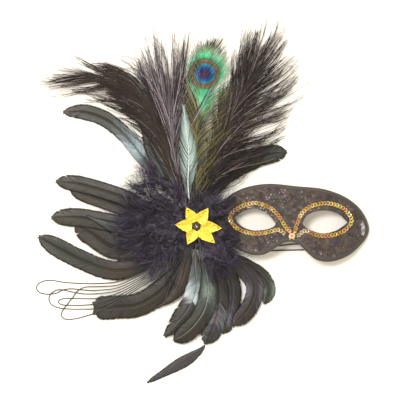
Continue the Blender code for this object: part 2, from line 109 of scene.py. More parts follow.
def evenLine(points, count, closed=False):
    dense = smoothLine(points, 24, closed)
    if closed:
        dense.append(dense[0])
    gone = [0.0]
    for a, b in zip(dense, dense[1:]):
        gone.append(gone[-1] + (b - a).length)
    parts = count if closed else count - 1
    line = []
    at = 0
    for i in range(count):
        wanted = gone[-1] * i / parts
        while at < len(gone) - 2 and gone[at + 1] < wanted:
            at += 1
        share = (wanted - gone[at]) / (gone[at + 1] - gone[at])
        line.append(dense[at].lerp(dense[at + 1], min(share, 1.0)))
    return line


def lineLength(points):
    return sum((b - a).length for a, b in zip(points, points[1:]))


def flat(points):
    return [Vector((p[0], p[1], 0)) for p in points]


def selectOnly(piece):
    bpy.ops.object.select_all(action="DESELECT")
    piece.select_set(True)
    bpy.context.view_layer.objects.active = piece


def applyModifier(piece, kind, **settings):
    selectOnly(piece)
    modifier = piece.modifiers.new(kind.title(), kind)
    for key, value in settings.items():
        setattr(modifier, key, value)
    bpy.ops.object.modifier_apply(modifier=modifier.name)


def settle(piece):
    selectOnly(piece)
    bpy.ops.object.transform_apply(location=True, rotation=True, scale=True)


def cleanNormals(piece):
    selectOnly(piece)
    bpy.ops.object.mode_set(mode="EDIT")
    bpy.ops.mesh.select_all(action="SELECT")
    bpy.ops.mesh.remove_doubles(threshold=1e-6)
    bpy.ops.mesh.normals_make_consistent(inside=False)
    bpy.ops.object.mode_set(mode="OBJECT")


def smoothShade(piece, angle=40):
    selectOnly(piece)
    bpy.ops.object.shade_smooth_by_angle(angle=math.radians(angle))


def pieceFrom(name, verts, faces, scale=mm):
    data = bpy.data.meshes.new(name)
    data.from_pydata([tuple(v * scale) for v in verts], [], faces)
    data.update()
    made = bpy.data.objects.new(name, data)
    bpy.context.scene.collection.objects.link(made)
    return made


def handOver(piece, slot, material, *nodes):
    piece.data.materials.clear()
    piece.data.materials.append(material)
    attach(piece, "root")
    if nodes:
        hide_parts(*nodes)
    return piece


def startMaterial(name, roughness, metallic=0.0, **sockets):
    mat = bpy.data.materials.new(name)
    mat.use_nodes = True
    shader = mat.node_tree.nodes["Principled BSDF"]
    shader.inputs["Roughness"].default_value = roughness
    shader.inputs["Metallic"].default_value = metallic
    for key, value in sockets.items():
        shader.inputs[key].default_value = value
    return mat, shader


def addNode(mat, kind, sockets=None, **settings):
    node = mat.node_tree.nodes.new(kind)
    for key, value in settings.items():
        setattr(node, key, value)
    for key, value in (sockets or {}).items():
        node.inputs[key].default_value = value
    return node


def join(mat, start, end):
    mat.node_tree.links.new(start, end)


def noiseOf(mat, scale, detail=3.0, stretch=(1, 1, 1), turn=0.0):
    coords = addNode(mat, "ShaderNodeTexCoord")
    mapping = addNode(mat, "ShaderNodeMapping", {"Scale": stretch, "Rotation": (0, 0, turn)})
    noise = addNode(mat, "ShaderNodeTexNoise", {"Scale": scale, "Detail": detail, "Roughness": 0.6})
    join(mat, coords.outputs["Object"], mapping.inputs["Vector"])
    join(mat, mapping.outputs["Vector"], noise.inputs["Vector"])
    return noise


def rampOf(mat, source, stops):
    ramp = addNode(mat, "ShaderNodeValToRGB")
    while len(ramp.color_ramp.elements) < len(stops):
        ramp.color_ramp.elements.new(0.5)
    for element, (place, colour) in zip(ramp.color_ramp.elements, stops):
        element.position = place
        element.color = (*colour, 1.0)
    join(mat, source, ramp.inputs["Fac"])
    return ramp


def bumpOf(mat, shader, height, strength, distance):
    bump = addNode(mat, "ShaderNodeBump", {"Strength": strength, "Distance": distance})
    join(mat, height, bump.inputs["Height"])
    join(mat, bump.outputs["Normal"], shader.inputs["Normal"])
    return bump


def paintedFinish(name, look):
    # the colour is painted on each barb or disc, and a fine grain breaks it up
    mat, shader = startMaterial(name, look["roughness"], look.get("metallic", 0.0), **look.get("sockets", {}))
    tint = addNode(mat, "ShaderNodeAttribute", attribute_name=look["paint"])
    grain = noiseOf(mat, look["grain"], look["detail"])
    shade = rampOf(mat, grain.outputs["Fac"], [(place, (level,) * 3) for place, level in look["levels"]])
    mix = addNode(mat, "ShaderNodeMix", data_type="RGBA", blend_type="MULTIPLY")
    mix.inputs["Factor"].default_value = 1.0
    join(mat, tint.outputs["Color"], mix.inputs["A"])
    join(mat, shade.outputs["Color"], mix.inputs["B"])
    join(mat, mix.outputs["Result"], shader.inputs["Base Color"])
    bumpOf(mat, shader, grain.outputs["Fac"], look["bump"], look["depth"])
    return mat


def weaveFinish(name, look):
    # two crossed thread waves over the cloth
    mat, shader = startMaterial(name, look["roughness"], **look.get("sockets", {}))
    coords = addNode(mat, "ShaderNodeTexCoord")
    heights = []
    for turn in look["turns"]:
        mapping = addNode(mat, "ShaderNodeMapping", {"Rotation": (0, 0, math.radians(turn))})
        wave = addNode(mat, "ShaderNodeTexWave", {"Scale": look["threads"], "Distortion": 1.4, "Detail": 2.0})
        join(mat, coords.outputs["Object"], mapping.inputs["Vector"])
        join(mat, mapping.outputs["Vector"], wave.inputs["Vector"])
        heights.append(wave.outputs["Fac"])
    mix = addNode(mat, "ShaderNodeMath", operation="MAXIMUM")
    join(mat, heights[0], mix.inputs[0])
    join(mat, heights[1], mix.inputs[1])
    wear = noiseOf(mat, look["wear"], 5.0)
    both = addNode(mat, "ShaderNodeMath", operation="MULTIPLY_ADD")
    join(mat, wear.outputs["Fac"], both.inputs[0])
    both.inputs[1].default_value = 0.7
    join(mat, mix.outputs["Value"], both.inputs[2])
    colour = rampOf(mat, both.outputs["Value"], ((0.35, look["dark"]), (1.0, look["light"])))
    join(mat, colour.outputs["Color"], shader.inputs["Base Color"])
    bumpOf(mat, shader, mix.outputs["Value"], look["bump"], 0.0003)
    return mat


def speckFinish(name, look):
    # small cells, each with its own shade, as on glitter, foil or brushed metal
    mat, shader = startMaterial(name, look["roughness"], look["metallic"], **look.get("sockets", {}))
    coords = addNode(mat, "ShaderNodeTexCoord")
    cells = addNode(mat, "ShaderNodeTexVoronoi", {"Scale": look["cells"]})
    join(mat, coords.outputs["Object"], cells.inputs["Vector"])
    parts = addNode(mat, "ShaderNodeSeparateColor")
    join(mat, cells.outputs["Color"], parts.inputs["Color"])
    colour = rampOf(mat, parts.outputs["Red"], look["stops"])
    join(mat, colour.outputs["Color"], shader.inputs["Base Color"])
    bumpOf(mat, shader, parts.outputs["Green"], look["bump"], 0.0004)
    return mat


def fibreFinish(name, look):
    # felted or spun fibres: stretched noise for the fibres, coarse noise for the felting
    mat, shader = startMaterial(name, look["roughness"], **look.get("sockets", {}))
    fibres = noiseOf(mat, look["fibres"], 6.0, look.get("stretch", (1, 1, 1)))
    colour = rampOf(mat, fibres.outputs["Fac"], ((0.3, look["dark"]), (0.7, look["light"])))
    join(mat, colour.outputs["Color"], shader.inputs["Base Color"])
    bumpOf(mat, shader, fibres.outputs["Fac"], look["bump"], 0.0004)
    return mat


barbPaint = {"paint": "barbTint", "detail": 4.0, "levels": ((0.25, 0.55), (0.75, 1.35)), "depth": 0.0002}
discPaint = {"paint": "discTint", "detail": 3.0, "levels": ((0.3, 0.7), (0.7, 1.25)), "depth": 0.0003}
finishes = {
    "coque": paintedFinish("coque_barbs", {
        **barbPaint, "roughness": 0.36, "grain": 900.0, "bump": 0.25, "sockets": {"Specular IOR Level": 0.42},
    }),
    "ostrich": paintedFinish("ostrich_barbs", {
        **barbPaint, "roughness": 0.55, "grain": 500.0, "bump": 0.15, "sockets": {"Specular IOR Level": 0.30},
    }),
    "peacock": paintedFinish("peacock_barbs", {
        **barbPaint, "roughness": 0.5, "grain": 1100.0, "bump": 0.25, "sockets": {"Specular IOR Level": 0.25},
    }),
    "silver": paintedFinish("silver_barbs", {
        **barbPaint, "roughness": 0.42, "grain": 1200.0, "bump": 0.25, "sockets": {"Specular IOR Level": 0.6},
    }),
    "down": paintedFinish("marabou_down", {
        **barbPaint, "roughness": 0.6, "grain": 300.0, "bump": 0.1, "sockets": {"Specular IOR Level": 0.25},
    }),
    "sequin": paintedFinish("sequin_discs", {
        **discPaint, "roughness": 0.36, "metallic": 0.35, "grain": 420.0, "bump": 0.12,
        "sockets": {"Coat Weight": 0.25, "Coat Roughness": 0.2},
    }),
    "goldCup": paintedFinish("gold_cups", {
        **discPaint, "roughness": 0.30, "metallic": 0.6, "grain": 700.0, "bump": 0.12,
    }),
    "cover": weaveFinish("cover_cloth", {
        "roughness": 0.7, "turns": (39.5, 129.5), "threads": 900.0, "wear": 60.0, "bump": 0.5,
        "dark": (0.010, 0.009, 0.010), "light": (0.045, 0.040, 0.042), "sockets": {"Sheen Weight": 0.2},
    }),
    "lining": weaveFinish("lining_cloth", {
        "roughness": 0.85, "turns": (-5.5, 84.5), "threads": 620.0, "wear": 45.0, "bump": 0.6,
        "dark": (0.012, 0.012, 0.014), "light": (0.060, 0.057, 0.062), "sockets": {"Sheen Weight": 0.3},
    }),
    "binding": weaveFinish("binding_satin", {
        "roughness": 0.40, "turns": (12.0, 102.0), "threads": 760.0, "wear": 70.0, "bump": 0.35,
        "dark": (0.016, 0.012, 0.010), "light": (0.052, 0.041, 0.034),
        "sockets": {"Sheen Weight": 0.1, "Sheen Roughness": 0.4, "Specular IOR Level": 0.5},
    }),
    "card": fibreFinish("stiff_card", {
        "roughness": 0.88, "fibres": 260.0, "bump": 0.3,
        "dark": (0.25, 0.21, 0.155), "light": (0.40, 0.35, 0.27),
    }),
    "darkThread": fibreFinish("braid_thread", {
        "roughness": 0.5, "fibres": 1500.0, "bump": 0.5,
        "dark": (0.10, 0.045, 0.015), "light": (0.42, 0.24, 0.06),
    }),
    "paleThread": fibreFinish("knot_thread", {
        "roughness": 0.40, "fibres": 1500.0, "bump": 0.5,
        "dark": (0.50, 0.30, 0.14), "light": (0.92, 0.74, 0.52),
    }),
    "petal": speckFinish("petal_glitter", {
        "roughness": 0.40, "metallic": 0.35, "cells": 1300.0, "bump": 0.75,
        "stops": ((0.0, (0.36, 0.16, 0.006)), (0.28, (0.70, 0.47, 0.020)), (0.85, (0.84, 0.66, 0.055))),
    }),
    "bead": speckFinish("bead_metal", {
        "roughness": 0.20, "metallic": 0.9, "cells": 500.0, "bump": 0.08,
        "stops": ((0.0, (0.05, 0.042, 0.035)), (0.6, (0.10, 0.085, 0.07)), (1.0, (0.17, 0.145, 0.12))),
    }),
    "felt": fibreFinish("black_felt", {
        "roughness": 0.95, "fibres": 700.0, "bump": 0.8,
        "dark": (0.010, 0.009, 0.010), "light": (0.040, 0.038, 0.042),
        "sockets": {"Sheen Weight": 0.35, "Sheen Roughness": 0.6, "Specular IOR Level": 0.2},
    }),
    "cord": fibreFinish("black_cord", {
        "roughness": 0.55, "fibres": 1300.0, "bump": 0.5,
        "dark": (0.010, 0.009, 0.009), "light": (0.050, 0.047, 0.048),
        "sockets": {"Sheen Weight": 0.2, "Specular IOR Level": 0.5},
    }),
    "stitch": fibreFinish("stitch_thread", {
        "roughness": 0.6, "fibres": 1300.0, "bump": 0.4,
        "dark": (0.016, 0.015, 0.016), "light": (0.07, 0.065, 0.065),
    }),
}
print("finishes mixed")


def setStudio():
    height = studio["field"] * studio["lens"] / studio["sensor"]
    bpy.ops.object.camera_add(location=(*studio["aim"], height), rotation=(0, 0, 0))
    camera = bpy.context.object
    camera.data.lens = studio["lens"]
    camera.data.sensor_width = studio["sensor"]
    bpy.context.scene.camera = camera
    for part in ("key", "fill"):
        place = Vector(studio[part + "Place"])
        bpy.ops.object.light_add(type="AREA", location=place)
        light = bpy.context.object
        light.name = part + "_light"
        light.data.size = studio[part + "Size"]
        light.data.energy = studio[part + "Power"]
        light.rotation_euler = place.to_track_quat("Z", "Y").to_euler()
    world = bpy.data.worlds.new("studio")
    world.use_nodes = True
    sky = world.node_tree.nodes["Background"]
    sky.inputs["Color"].default_value = (*studio["skyColour"], 1.0)
    sky.inputs["Strength"].default_value = studio["skyStrength"]
    bpy.context.scene.world = world
    bpy.context.scene.view_settings.view_transform = "Standard"
    bpy.ops.mesh.primitive_plane_add(size=studio["floorSize"], location=(0, 0, 0))
    floor = bpy.context.object
    floor.name = "floor"
    mat, shader = startMaterial("white_table", 0.8, **{"Specular IOR Level": 0.1})
    shader.inputs["Base Color"].default_value = (*studio["floorColour"], 1.0)
    floor.data.materials.append(mat)
    settle(floor)


setStudio()
print("studio set")


loopCord = {"thick": 1.1, "points": 150, "stiffness": "limp"}
loopRoutes = {
    "loop_cord_1": (
        (-10.8, -9.4, 16.8), (-28.2, -31.6, 12.4), (-43.5, -42.6, 9.6), (-61, -51.5, 7.6),
        (-84, -60, 5.0), (-108, -62.5, 1.2), (-126, -62.3, 0.8), (-143, -61.2, 0.7), (-158, -59, 0.7),
        (-167, -60.5, 0.7), (-173, -66, 0.7), (-170, -72, 0.7), (-161, -74, 0.7), (-151, -72.8, 0.7),
        (-144, -69.2, 0.7), (-134, -68.2, 0.7), (-121, -69.6, 0.8), (-108, -69.6, 4.4), (-84, -66.6, 5.8),
        (-60, -55.2, 7.8), (-41.5, -45.4, 9.6), (-25.5, -33.8, 12.2), (-8.6, -11.4, 16.8),
    ),
    "loop_cord_2": (
        (-7.4, -12.3, 16.8), (-24.2, -34.9, 12.2), (-40.5, -46.8, 9.6), (-59.5, -57, 7.8),
        (-84, -69.6, 5.8), (-108, -73.2, 4.6), (-122, -73.6, 1.8), (-131, -72.2, 1.6), (-140, -70.2, 2.2),
        (-149, -69, 2.4), (-156, -72, 2.2), (-159.5, -78, 0.9), (-157.5, -84.5, 0.7), (-150, -88.5, 0.7),
        (-139, -90, 0.7), (-124, -90.2, 1.0), (-108, -88.8, 4.4), (-84, -78.2, 5.8), (-57.5, -62.2, 7.8),
        (-37.5, -51, 9.6), (-20.1, -38.2, 12.2), (-3.2, -13.9, 16.8),
    ),
    "loop_cord_3": (
        (-6.0, -13.0, 16.8), (-22.8, -36, 12.2), (-39.5, -48.2, 9.6), (-58.8, -58.8, 7.8),
        (-84, -72.5, 5.8), (-108, -78.2, 4.5), (-124, -78.8, 1.2), (-138, -78.6, 0.7), (-146, -79.4, 0.7),
        (-149.5, -82.2, 0.7), (-146, -85.2, 0.7), (-137, -86.2, 0.7), (-124, -86, 1.0), (-108, -83.8, 4.4),
        (-84, -75.4, 5.8), (-58.1, -60.5, 7.8), (-38.5, -49.6, 9.6), (-21.5, -37.1, 12.2),
        (-4.7, -13.5, 16.8),
    ),
    "loop_cord_4": (
        (-9.8, -10.4, 16.8), (-26.9, -32.7, 12.2), (-42.5, -44, 9.6), (-60.5, -53.4, 7.8),
        (-84, -63.6, 5.8), (-106, -65.6, 4.0), (-120, -66.2, 3.0), (-128, -69.8, 3.4), (-133, -76.4, 2.8),
        (-138.5, -83.4, 2.4), (-144, -90.6, 2.3), (-146, -97, 0.8), (-141.5, -101.2, 0.7),
        (-130, -100.4, 0.7),
        (-119, -97.4, 1.6), (-108, -93.4, 4.4), (-84, -81, 5.8), (-57, -64, 7.8), (-36.5, -52.4, 9.6),
        (-18.8, -39.3, 12.2), (-1.7, -14.2, 16.8),
    ),
}
sideRoutes = {
    "side_cord_1": (
        (-0.2, -14.3, 16.8), (-17, -41.5, 12.2), (-24, -56, 10.4), (-30, -69, 9.2), (-34.5, -84, 8.2),
    ),
    "side_cord_2": ((1.2, -14.2, 16.8), (-15.2, -43, 12.2), (-20.5, -55, 10.4), (-24, -67, 9.4)),
}
elasticCord = {"thick": 1.5, "points": 150, "stiffness": "limp"}
elasticRoute = (
    (168.0, -6.2, 8.4), (159, -11.6, 2.8), (148, -17.4, 1.2), (136, -22.6, 0.9), (124, -25.4, 0.9),
    (108, -26.2, 0.9), (92, -26.6, 0.9), (76, -27.2, 0.9), (60, -27.4, 0.9), (51.5, -26.2, 0.9),
    (47.8, -22.8, 0.9), (51.5, -19.4, 0.9), (60, -19.2, 0.9), (74, -21.2, 0.9), (90, -21.4, 0.9),
    (106, -19.8, 0.9), (118, -20.2, 0.9), (127, -20.6, 0.9), (131.4, -17.6, 0.9), (128, -13.6, 0.9),
    (116, -10.4, 0.9), (98, -7.8, 0.9), (80, -7.6, 0.9), (62, -8.2, 0.9), (48, -3.4, 1.4),
    (41, 1.4, 4.4), (35.8, 5.4, 8.0),
)


def freeCord(name, route, cord):
    data = bpy.data.curves.new(name, "CURVE")
    data.dimensions = "3D"
    data.bevel_depth = cord["thick"] / 2 * mm
    data.bevel_resolution = 2
    data.use_fill_caps = True
    line = [p * mm for p in evenLine(route, cord["points"])]
    spline = data.splines.new("POLY")
    spline.points.add(len(line) - 1)
    for point, here in zip(spline.points, line):
        point.co = (*here, 1.0)
    made = bpy.data.objects.new(name + "_strand", data)
    bpy.context.scene.collection.objects.link(made)
    handOver(made, "black_cord", finishes["cord"], name)
    round(lineLength(line), 4)


for name, route in loopRoutes.items():
    freeCord(name, route, loopCord)
for name, route in sideRoutes.items():
    freeCord(name, route, dict(loopCord, points=40))
freeCord("elastic_cord", elasticRoute, elasticCord)
print("cords laid")


# the mask's plan: u to the wearer's left, v up, zero at the bridge of the nose
maskShape = {
    "place": (101.8, -11.2),
    "turn": math.radians(-5.5),
    "halfSpan": 84.0,
    "archHeight": 24.0,
    "archFoot": 1.6,
    "halfOutline": (
        (0.0, 54.0), (29.0, 53.8), (51.0, 48.6), (67.0, 40.0), (78.0, 28.5), (83.6, 15.5),
        (81.5, 6.0), (76.0, -2.0), (67.0, -11.8), (55.5, -19.0), (41.5, -23.2), (29.0, -22.2),
        (20.5, -17.2), (13.5, -11.4), (7.5, -7.2), (0.0, -5.4),
    ),
    "rightEye": (
        (9.6, 15.5), (12.7, 22.5), (20.0, 28.0), (34.0, 31.2), (48.0, 28.6), (58.8, 20.8),
        (54.0, 16.2), (45.0, 10.0), (33.0, 6.6), (20.0, 8.6), (12.5, 12.0),
    ),
    "leftEye": (
        (-18.2, 11.8), (-24.0, 18.6), (-32.0, 23.8), (-42.0, 25.8), (-53.0, 22.4), (-62.2, 14.8),
        (-58.0, 8.6), (-50.0, 4.2), (-40.0, 2.6), (-29.0, 4.6), (-21.0, 8.2),
    ),
    "eyeCorners": (0, 5),
    "bend": 2.4,
    "bendRows": (-14, 30),
}
# from the face outwards: how far in from the outline, height, thickness
sheets = {
    "lining": {"inset": 2.6, "low": 0.0, "thick": 0.55, "slot": "lining_fabric", "finish": "lining"},
    "form": {"inset": 3.3, "low": 0.85, "thick": 1.5, "slot": "stiff_card", "finish": "card"},
    "cover": {"inset": 2.8, "low": 2.6, "thick": 0.75, "slot": "sequin_fabric", "finish": "cover"},
}


def maskToWorld(point):
    lift = maskShape["archFoot"] + maskShape["archHeight"] * (1 - (point.x / maskShape["halfSpan"]) ** 2)
    turned = Matrix.Rotation(maskShape["turn"], 3, "Z") @ Vector((point.x, point.y, point.z + lift))
    return turned + Vector((*maskShape["place"], 0))


def inset(loop, distance):
    moved = []
    for i, here in enumerate(loop):
        along = (loop[(i + 1) % len(loop)] - loop[i - 1]).normalized()
        moved.append(here + Vector((-along.y, along.x, 0)) * distance)
    return moved


def outlineLoop(count):
    half = maskShape["halfOutline"]
    whole = [Vector((u, v, 0)) for u, v in (*half, *[(-u, v) for u, v in reversed(half[1:-1])])]
    whole.reverse()
    return evenLine(whole, count, closed=True)


def eyeLoop(eye):
    return smoothLine(flat(maskShape[eye]), 6, True, maskShape["eyeCorners"])


def cutFlat(name, loops, columns, rows):
    # a filled flat curve made a mesh, then cut into strips both ways so that it can be bent
    data = bpy.data.curves.new(name, "CURVE")
    data.dimensions = "2D"
    data.fill_mode = "BOTH"
    for loop in loops:
        spline = data.splines.new("POLY")
        spline.points.add(len(loop) - 1)
        spline.use_cyclic_u = True
        for point, here in zip(spline.points, loop):
            point.co = (here.x * mm, here.y * mm, 0, 1)
    made = bpy.data.objects.new(name, data)
    bpy.context.scene.collection.objects.link(made)
    selectOnly(made)
    bpy.ops.object.convert(target="MESH")
    made = bpy.context.object
    bpy.ops.object.mode_set(mode="EDIT")
    for (first, last, step), along in ((columns, Vector((1, 0, 0))), (rows, Vector((0, 1, 0)))):
        for i in range(first, last):
            bpy.ops.mesh.select_all(action="SELECT")
            bpy.ops.mesh.bisect(plane_co=along * (i * step * mm), plane_no=along, threshold=1e-7)
    bpy.ops.mesh.select_all(action="SELECT")
    bpy.ops.mesh.remove_doubles(threshold=1e-6)
    bpy.ops.object.mode_set(mode="OBJECT")
    return made


def planSheet(name, loops, low, thick):
    bend = maskShape["bend"]
    cuts = int(maskShape["halfSpan"] / bend)
    made = cutFlat(name, loops, (-cuts, cuts + 1, bend), (*maskShape["bendRows"], bend))
    cleanNormals(made)
    up = sum(face.normal.z * face.area for face in made.data.polygons) > 0
    for vert in made.data.vertices:
        vert.co = maskToWorld(Vector((vert.co.x / mm, vert.co.y / mm, low))) * mm
    if not up:
        made.data.flip_normals()
    applyModifier(made, "SOLIDIFY", thickness=thick * mm, offset=1.0)
    smoothShade(made, 50)
    return made


def makeSheets():
    outline = outlineLoop(220)
    eyes = [eyeLoop("rightEye"), eyeLoop("leftEye")]
    for name, sheet in sheets.items():
        loops = [inset(outline, sheet["inset"]), *eyes]
        made = planSheet(name + "_sheet", loops, sheet["low"], sheet["thick"])
        handOver(made, sheet["slot"], finishes[sheet["finish"]], "mask_" + name)


sequins = {
    "pitch": 3.5,
    "radius": 2.5,
    "thick": 0.16,
    "dish": 0.36,
    "level": 3.5,
    "edge": 3.7,
    "eyeEdge": 1.9,
    "corner": (-84.0, -26.0),  # where the first row starts
    "field": (170.0, 86.0),
    "rowShare": 0.86,
    "stray": (0.35, 0.30),
    "lean": 9.0,  # every disc leans on the one below
    "leanSpread": 3.0,
    "tilt": 5.0,
    "glints": (0.75, 1.3),
    "paintedHighlightFrom": 74.0,  # a painted highlight: a bright streak painted on the discs near the outer end
    "paintedHighlightRows": (9.0, 23.0),
    "paintedHighlight": (0.62, 0.62, 0.68),
    "tints": (
        (0.068, 0.048, 0.040), (0.078, 0.056, 0.050), (0.060, 0.049, 0.038), (0.090, 0.068, 0.052),
        (0.074, 0.046, 0.062), (0.050, 0.038, 0.036), (0.062, 0.060, 0.044), (0.105, 0.082, 0.080),
        (0.056, 0.042, 0.066),
    ),
}


def insideLoop(point, loop):
    inside = False
    for a, b in zip(loop, loop[1:] + loop[:1]):
        if (a.y > point.y) != (b.y > point.y):
            if point.x < (b.x - a.x) * (point.y - a.y) / (b.y - a.y) + a.x:
                inside = not inside
    return inside


def distanceTo(point, loop):
    return min((point - here).length for here in loop)


def modelSequin(radius, dish, thick, hole=0.0, sides=10):
    # one dished disc, with its rim raised
    bpy.ops.mesh.primitive_circle_add(vertices=sides, radius=radius, fill_type="NGON", location=(0, 0, 0))
    made = bpy.context.object
    bpy.ops.object.mode_set(mode="EDIT")
    bpy.ops.mesh.select_all(action="SELECT")
    bpy.ops.mesh.inset(thickness=radius * 0.42)
    bpy.ops.transform.translate(value=(0, 0, -dish * 0.75))
    bpy.ops.mesh.inset(thickness=(radius * 0.58 - hole) if hole else radius * 0.30)
    bpy.ops.transform.translate(value=(0, 0, -dish * 0.25))
    if hole:
        bpy.ops.mesh.delete(type="FACE")
    bpy.ops.object.mode_set(mode="OBJECT")
    applyModifier(made, "SOLIDIFY", thickness=thick, offset=-1.0)
    verts = [v.co.copy() for v in made.data.vertices]
    faces = [tuple(face.vertices) for face in made.data.polygons]
    bpy.data.objects.remove(made, do_unlink=True)
    return verts, faces


def paint(piece, name, colours):
    layer = piece.data.color_attributes.new(name, "FLOAT_COLOR", "POINT")
    layer.data.foreach_set("color", [part for colour in colours for part in (*colour, 1.0)])


def sewSequins():
    rng = random.Random(41)
    outline = outlineLoop(160)
    eyes = [eyeLoop("rightEye"), eyeLoop("leftEye")]
    model = modelSequin(sequins["radius"], sequins["dish"], sequins["thick"])
    verts, faces, colours = [], [], []
    (left, bottom), (wide, high) = sequins["corner"], sequins["field"]
    pitch, rowShare, (strayU, strayV) = sequins["pitch"], sequins["rowShare"], sequins["stray"]
    for row in range(int(high / (pitch * rowShare))):
        for column in range(int(wide / pitch)):
            u = left + (column + 0.5 * (row % 2)) * pitch + rng.uniform(-strayU, strayU)
            v = bottom + row * pitch * rowShare + rng.uniform(-strayV, strayV)
            here = Vector((u, v, 0))
            if not insideLoop(here, outline) or distanceTo(here, outline) < sequins["edge"]:
                continue
            if any(insideLoop(here, eye) or distanceTo(here, eye) < sequins["eyeEdge"] for eye in eyes):
                continue
            tilt = math.radians(sequins["lean"] + rng.gauss(0, sequins["leanSpread"]))
            turn = Matrix.Rotation(math.radians(rng.gauss(0, sequins["tilt"])), 3, "Y")
            turn = turn @ Matrix.Rotation(tilt, 3, "X")
            level = sequins["level"] + sequins["dish"] + 0.15 + rng.uniform(0, 0.12)
            grow = rng.uniform(0.92, 1.06)
            base = len(verts)
            for spot in model[0]:
                verts.append(maskToWorld(here + Vector((0, 0, level)) + turn @ (spot * grow)))
            faces += [tuple(base + i for i in face) for face in model[1]]
            # each disc's tint, scaled at random within glints, is partly its own dark tone and partly painted
            # glint, the light each tilted disc throws back
            tint = Vector(rng.choice(sequins["tints"])) * rng.uniform(*sequins["glints"])
            # discs in the bright streak are drawn toward a pale grey: a painted highlight where the cloth
            # curves away at its outer end
            if u > sequins["paintedHighlightFrom"] and sequins["paintedHighlightRows"][0] < v < sequins["paintedHighlightRows"][1]:
                tint = tint.lerp(Vector(sequins["paintedHighlight"]), rng.uniform(0.2, 0.9))
            colours += [tint] * len(model[0])
    made = pieceFrom("sequin_discs", verts, faces)
    paint(made, "discTint", colours)
    smoothShade(made, 35)
    handOver(made, "sequin_fabric", finishes["sequin"])


binding = {
    "width": 4.3,
    "under": 4.2,
    "tape": 0.38,
    "points": 260,
    "pucker": 0.22,
    "stitchPitch": 3.1,
    "stitchIn": 0.9,
    "stitchThick": 0.16,
    "stitchLifts": (4.15, 4.62, 4.66, 4.62, 4.15),
    "stitchTint": (0.02, 0.019, 0.02),
}


def sewBinding():
    # a folded tape round the edge, a little puckered where it is stitched
    rng = random.Random(7)
    count = binding["points"]
    outline = outlineLoop(count)
    waves = [(rng.uniform(0.25, 0.9), rng.uniform(0, 6.28), rng.uniform(0.3, 1)) for _ in range(5)]
    tape, over, under = binding["tape"], binding["width"], binding["under"]
    profile = (
        (under, -0.42), (2.2, -0.50), (0.5, -0.36), (-0.05, 0.5), (-0.12, 1.9), (0.05, 3.2), (0.8, 4.15),
        (2.0, 4.50), (3.4, 4.46), (over, 4.26), (over, 4.26 - tape), (3.4, 4.46 - tape), (2.0, 4.50 - tape),
        (1.0, 3.85), (0.42, 3.0), (0.30, 1.9), (0.38, 0.6), (0.8, -0.06), (2.2, -0.14), (under, -0.08),
    )
    verts = []
    for i in range(count):
        along = (outline[(i + 1) % count] - outline[i - 1]).normalized()
        inward = Vector((-along.y, along.x, 0))
        ripple = sum(size * math.sin(i * pitch + start) for pitch, start, size in waves) / 2.5
        for k, (depth, level) in enumerate(profile):
            raised = binding["pucker"] * ripple * ease(0.0, 2.4, depth) if level > 3.4 else 0
            wide = depth * (1 + 0.10 * ripple) if depth > 3 else depth
            verts.append(maskToWorld(outline[i] + inward * wide + Vector((0, 0, level + raised))))
    size = len(profile)
    faces = []
    for i in range(count):
        for k in range(size):
            a, b = i * size + k, i * size + (k + 1) % size
            c, d = (i + 1) % count * size + (k + 1) % size, (i + 1) % count * size + k
            faces.append((a, b, c, d))
    made = pieceFrom("edge_tape", verts, faces)
    cleanNormals(made)
    smoothShade(made, 50)
    handOver(made, "satin_binding", finishes["binding"], "edge_binding")
    # the seam: one stitch at a time along the tape's inner edge
    stitches = []
    long = lineLength(outline)
    steps = int(long / binding["stitchPitch"])
    fine = inset(evenLine(outline, steps * 4, closed=True), over - binding["stitchIn"])
    lifts = binding["stitchLifts"]
    for i in range(steps):
        a, b = fine[i * 4], fine[(i * 4 + 2) % len(fine)]
        points = [maskToWorld(a.lerp(b, k / 4) + Vector((0, 0, lift))) for k, lift in enumerate(lifts)]
        stitches.append((points, [binding["stitchThick"]] * len(lifts), [binding["stitchTint"]] * len(lifts)))
    made = strandPiece("edge_stitches", stitches, 4)
    handOver(made, "satin_binding", finishes["stitch"])


def strandPiece(name, strands, sides=3, flatSection=False):
    # many fine closed tubes in one mesh, each with its own widths and tints along it
    verts, faces, colours = [], [], []
    ring = [(math.cos(2 * math.pi * k / sides), math.sin(2 * math.pi * k / sides)) for k in range(sides)]
    for points, widths, tints in strands:
        base = len(verts)
        last = len(points) - 1
        for i, here in enumerate(points):
            along = points[min(i + 1, last)] - points[max(i - 1, 0)]
            side = along.cross(upwards)
            side = side.normalized() if side.length > 1e-6 else Vector((1, 0, 0))
            up = side.cross(along).normalized()
            width = widths[i]
            thick = min(width * 0.35, 0.16) if flatSection else width
            for across, lift in ring:
                verts.append(here + side * (across * width) + up * (lift * thick))
                colours.append(tints[i])
        for i in range(last):
            for k in range(sides):
                a, b = base + i * sides + k, base + i * sides + (k + 1) % sides
                faces.append((a, b, b + sides, a + sides))
        faces.append(tuple(base + k for k in reversed(range(sides))))
        faces.append(tuple(base + last * sides + k for k in range(sides)))
    made = pieceFrom(name, verts, faces)
    paint(made, "barbTint", colours)
    selectOnly(made)
    bpy.ops.object.shade_smooth()
    return made


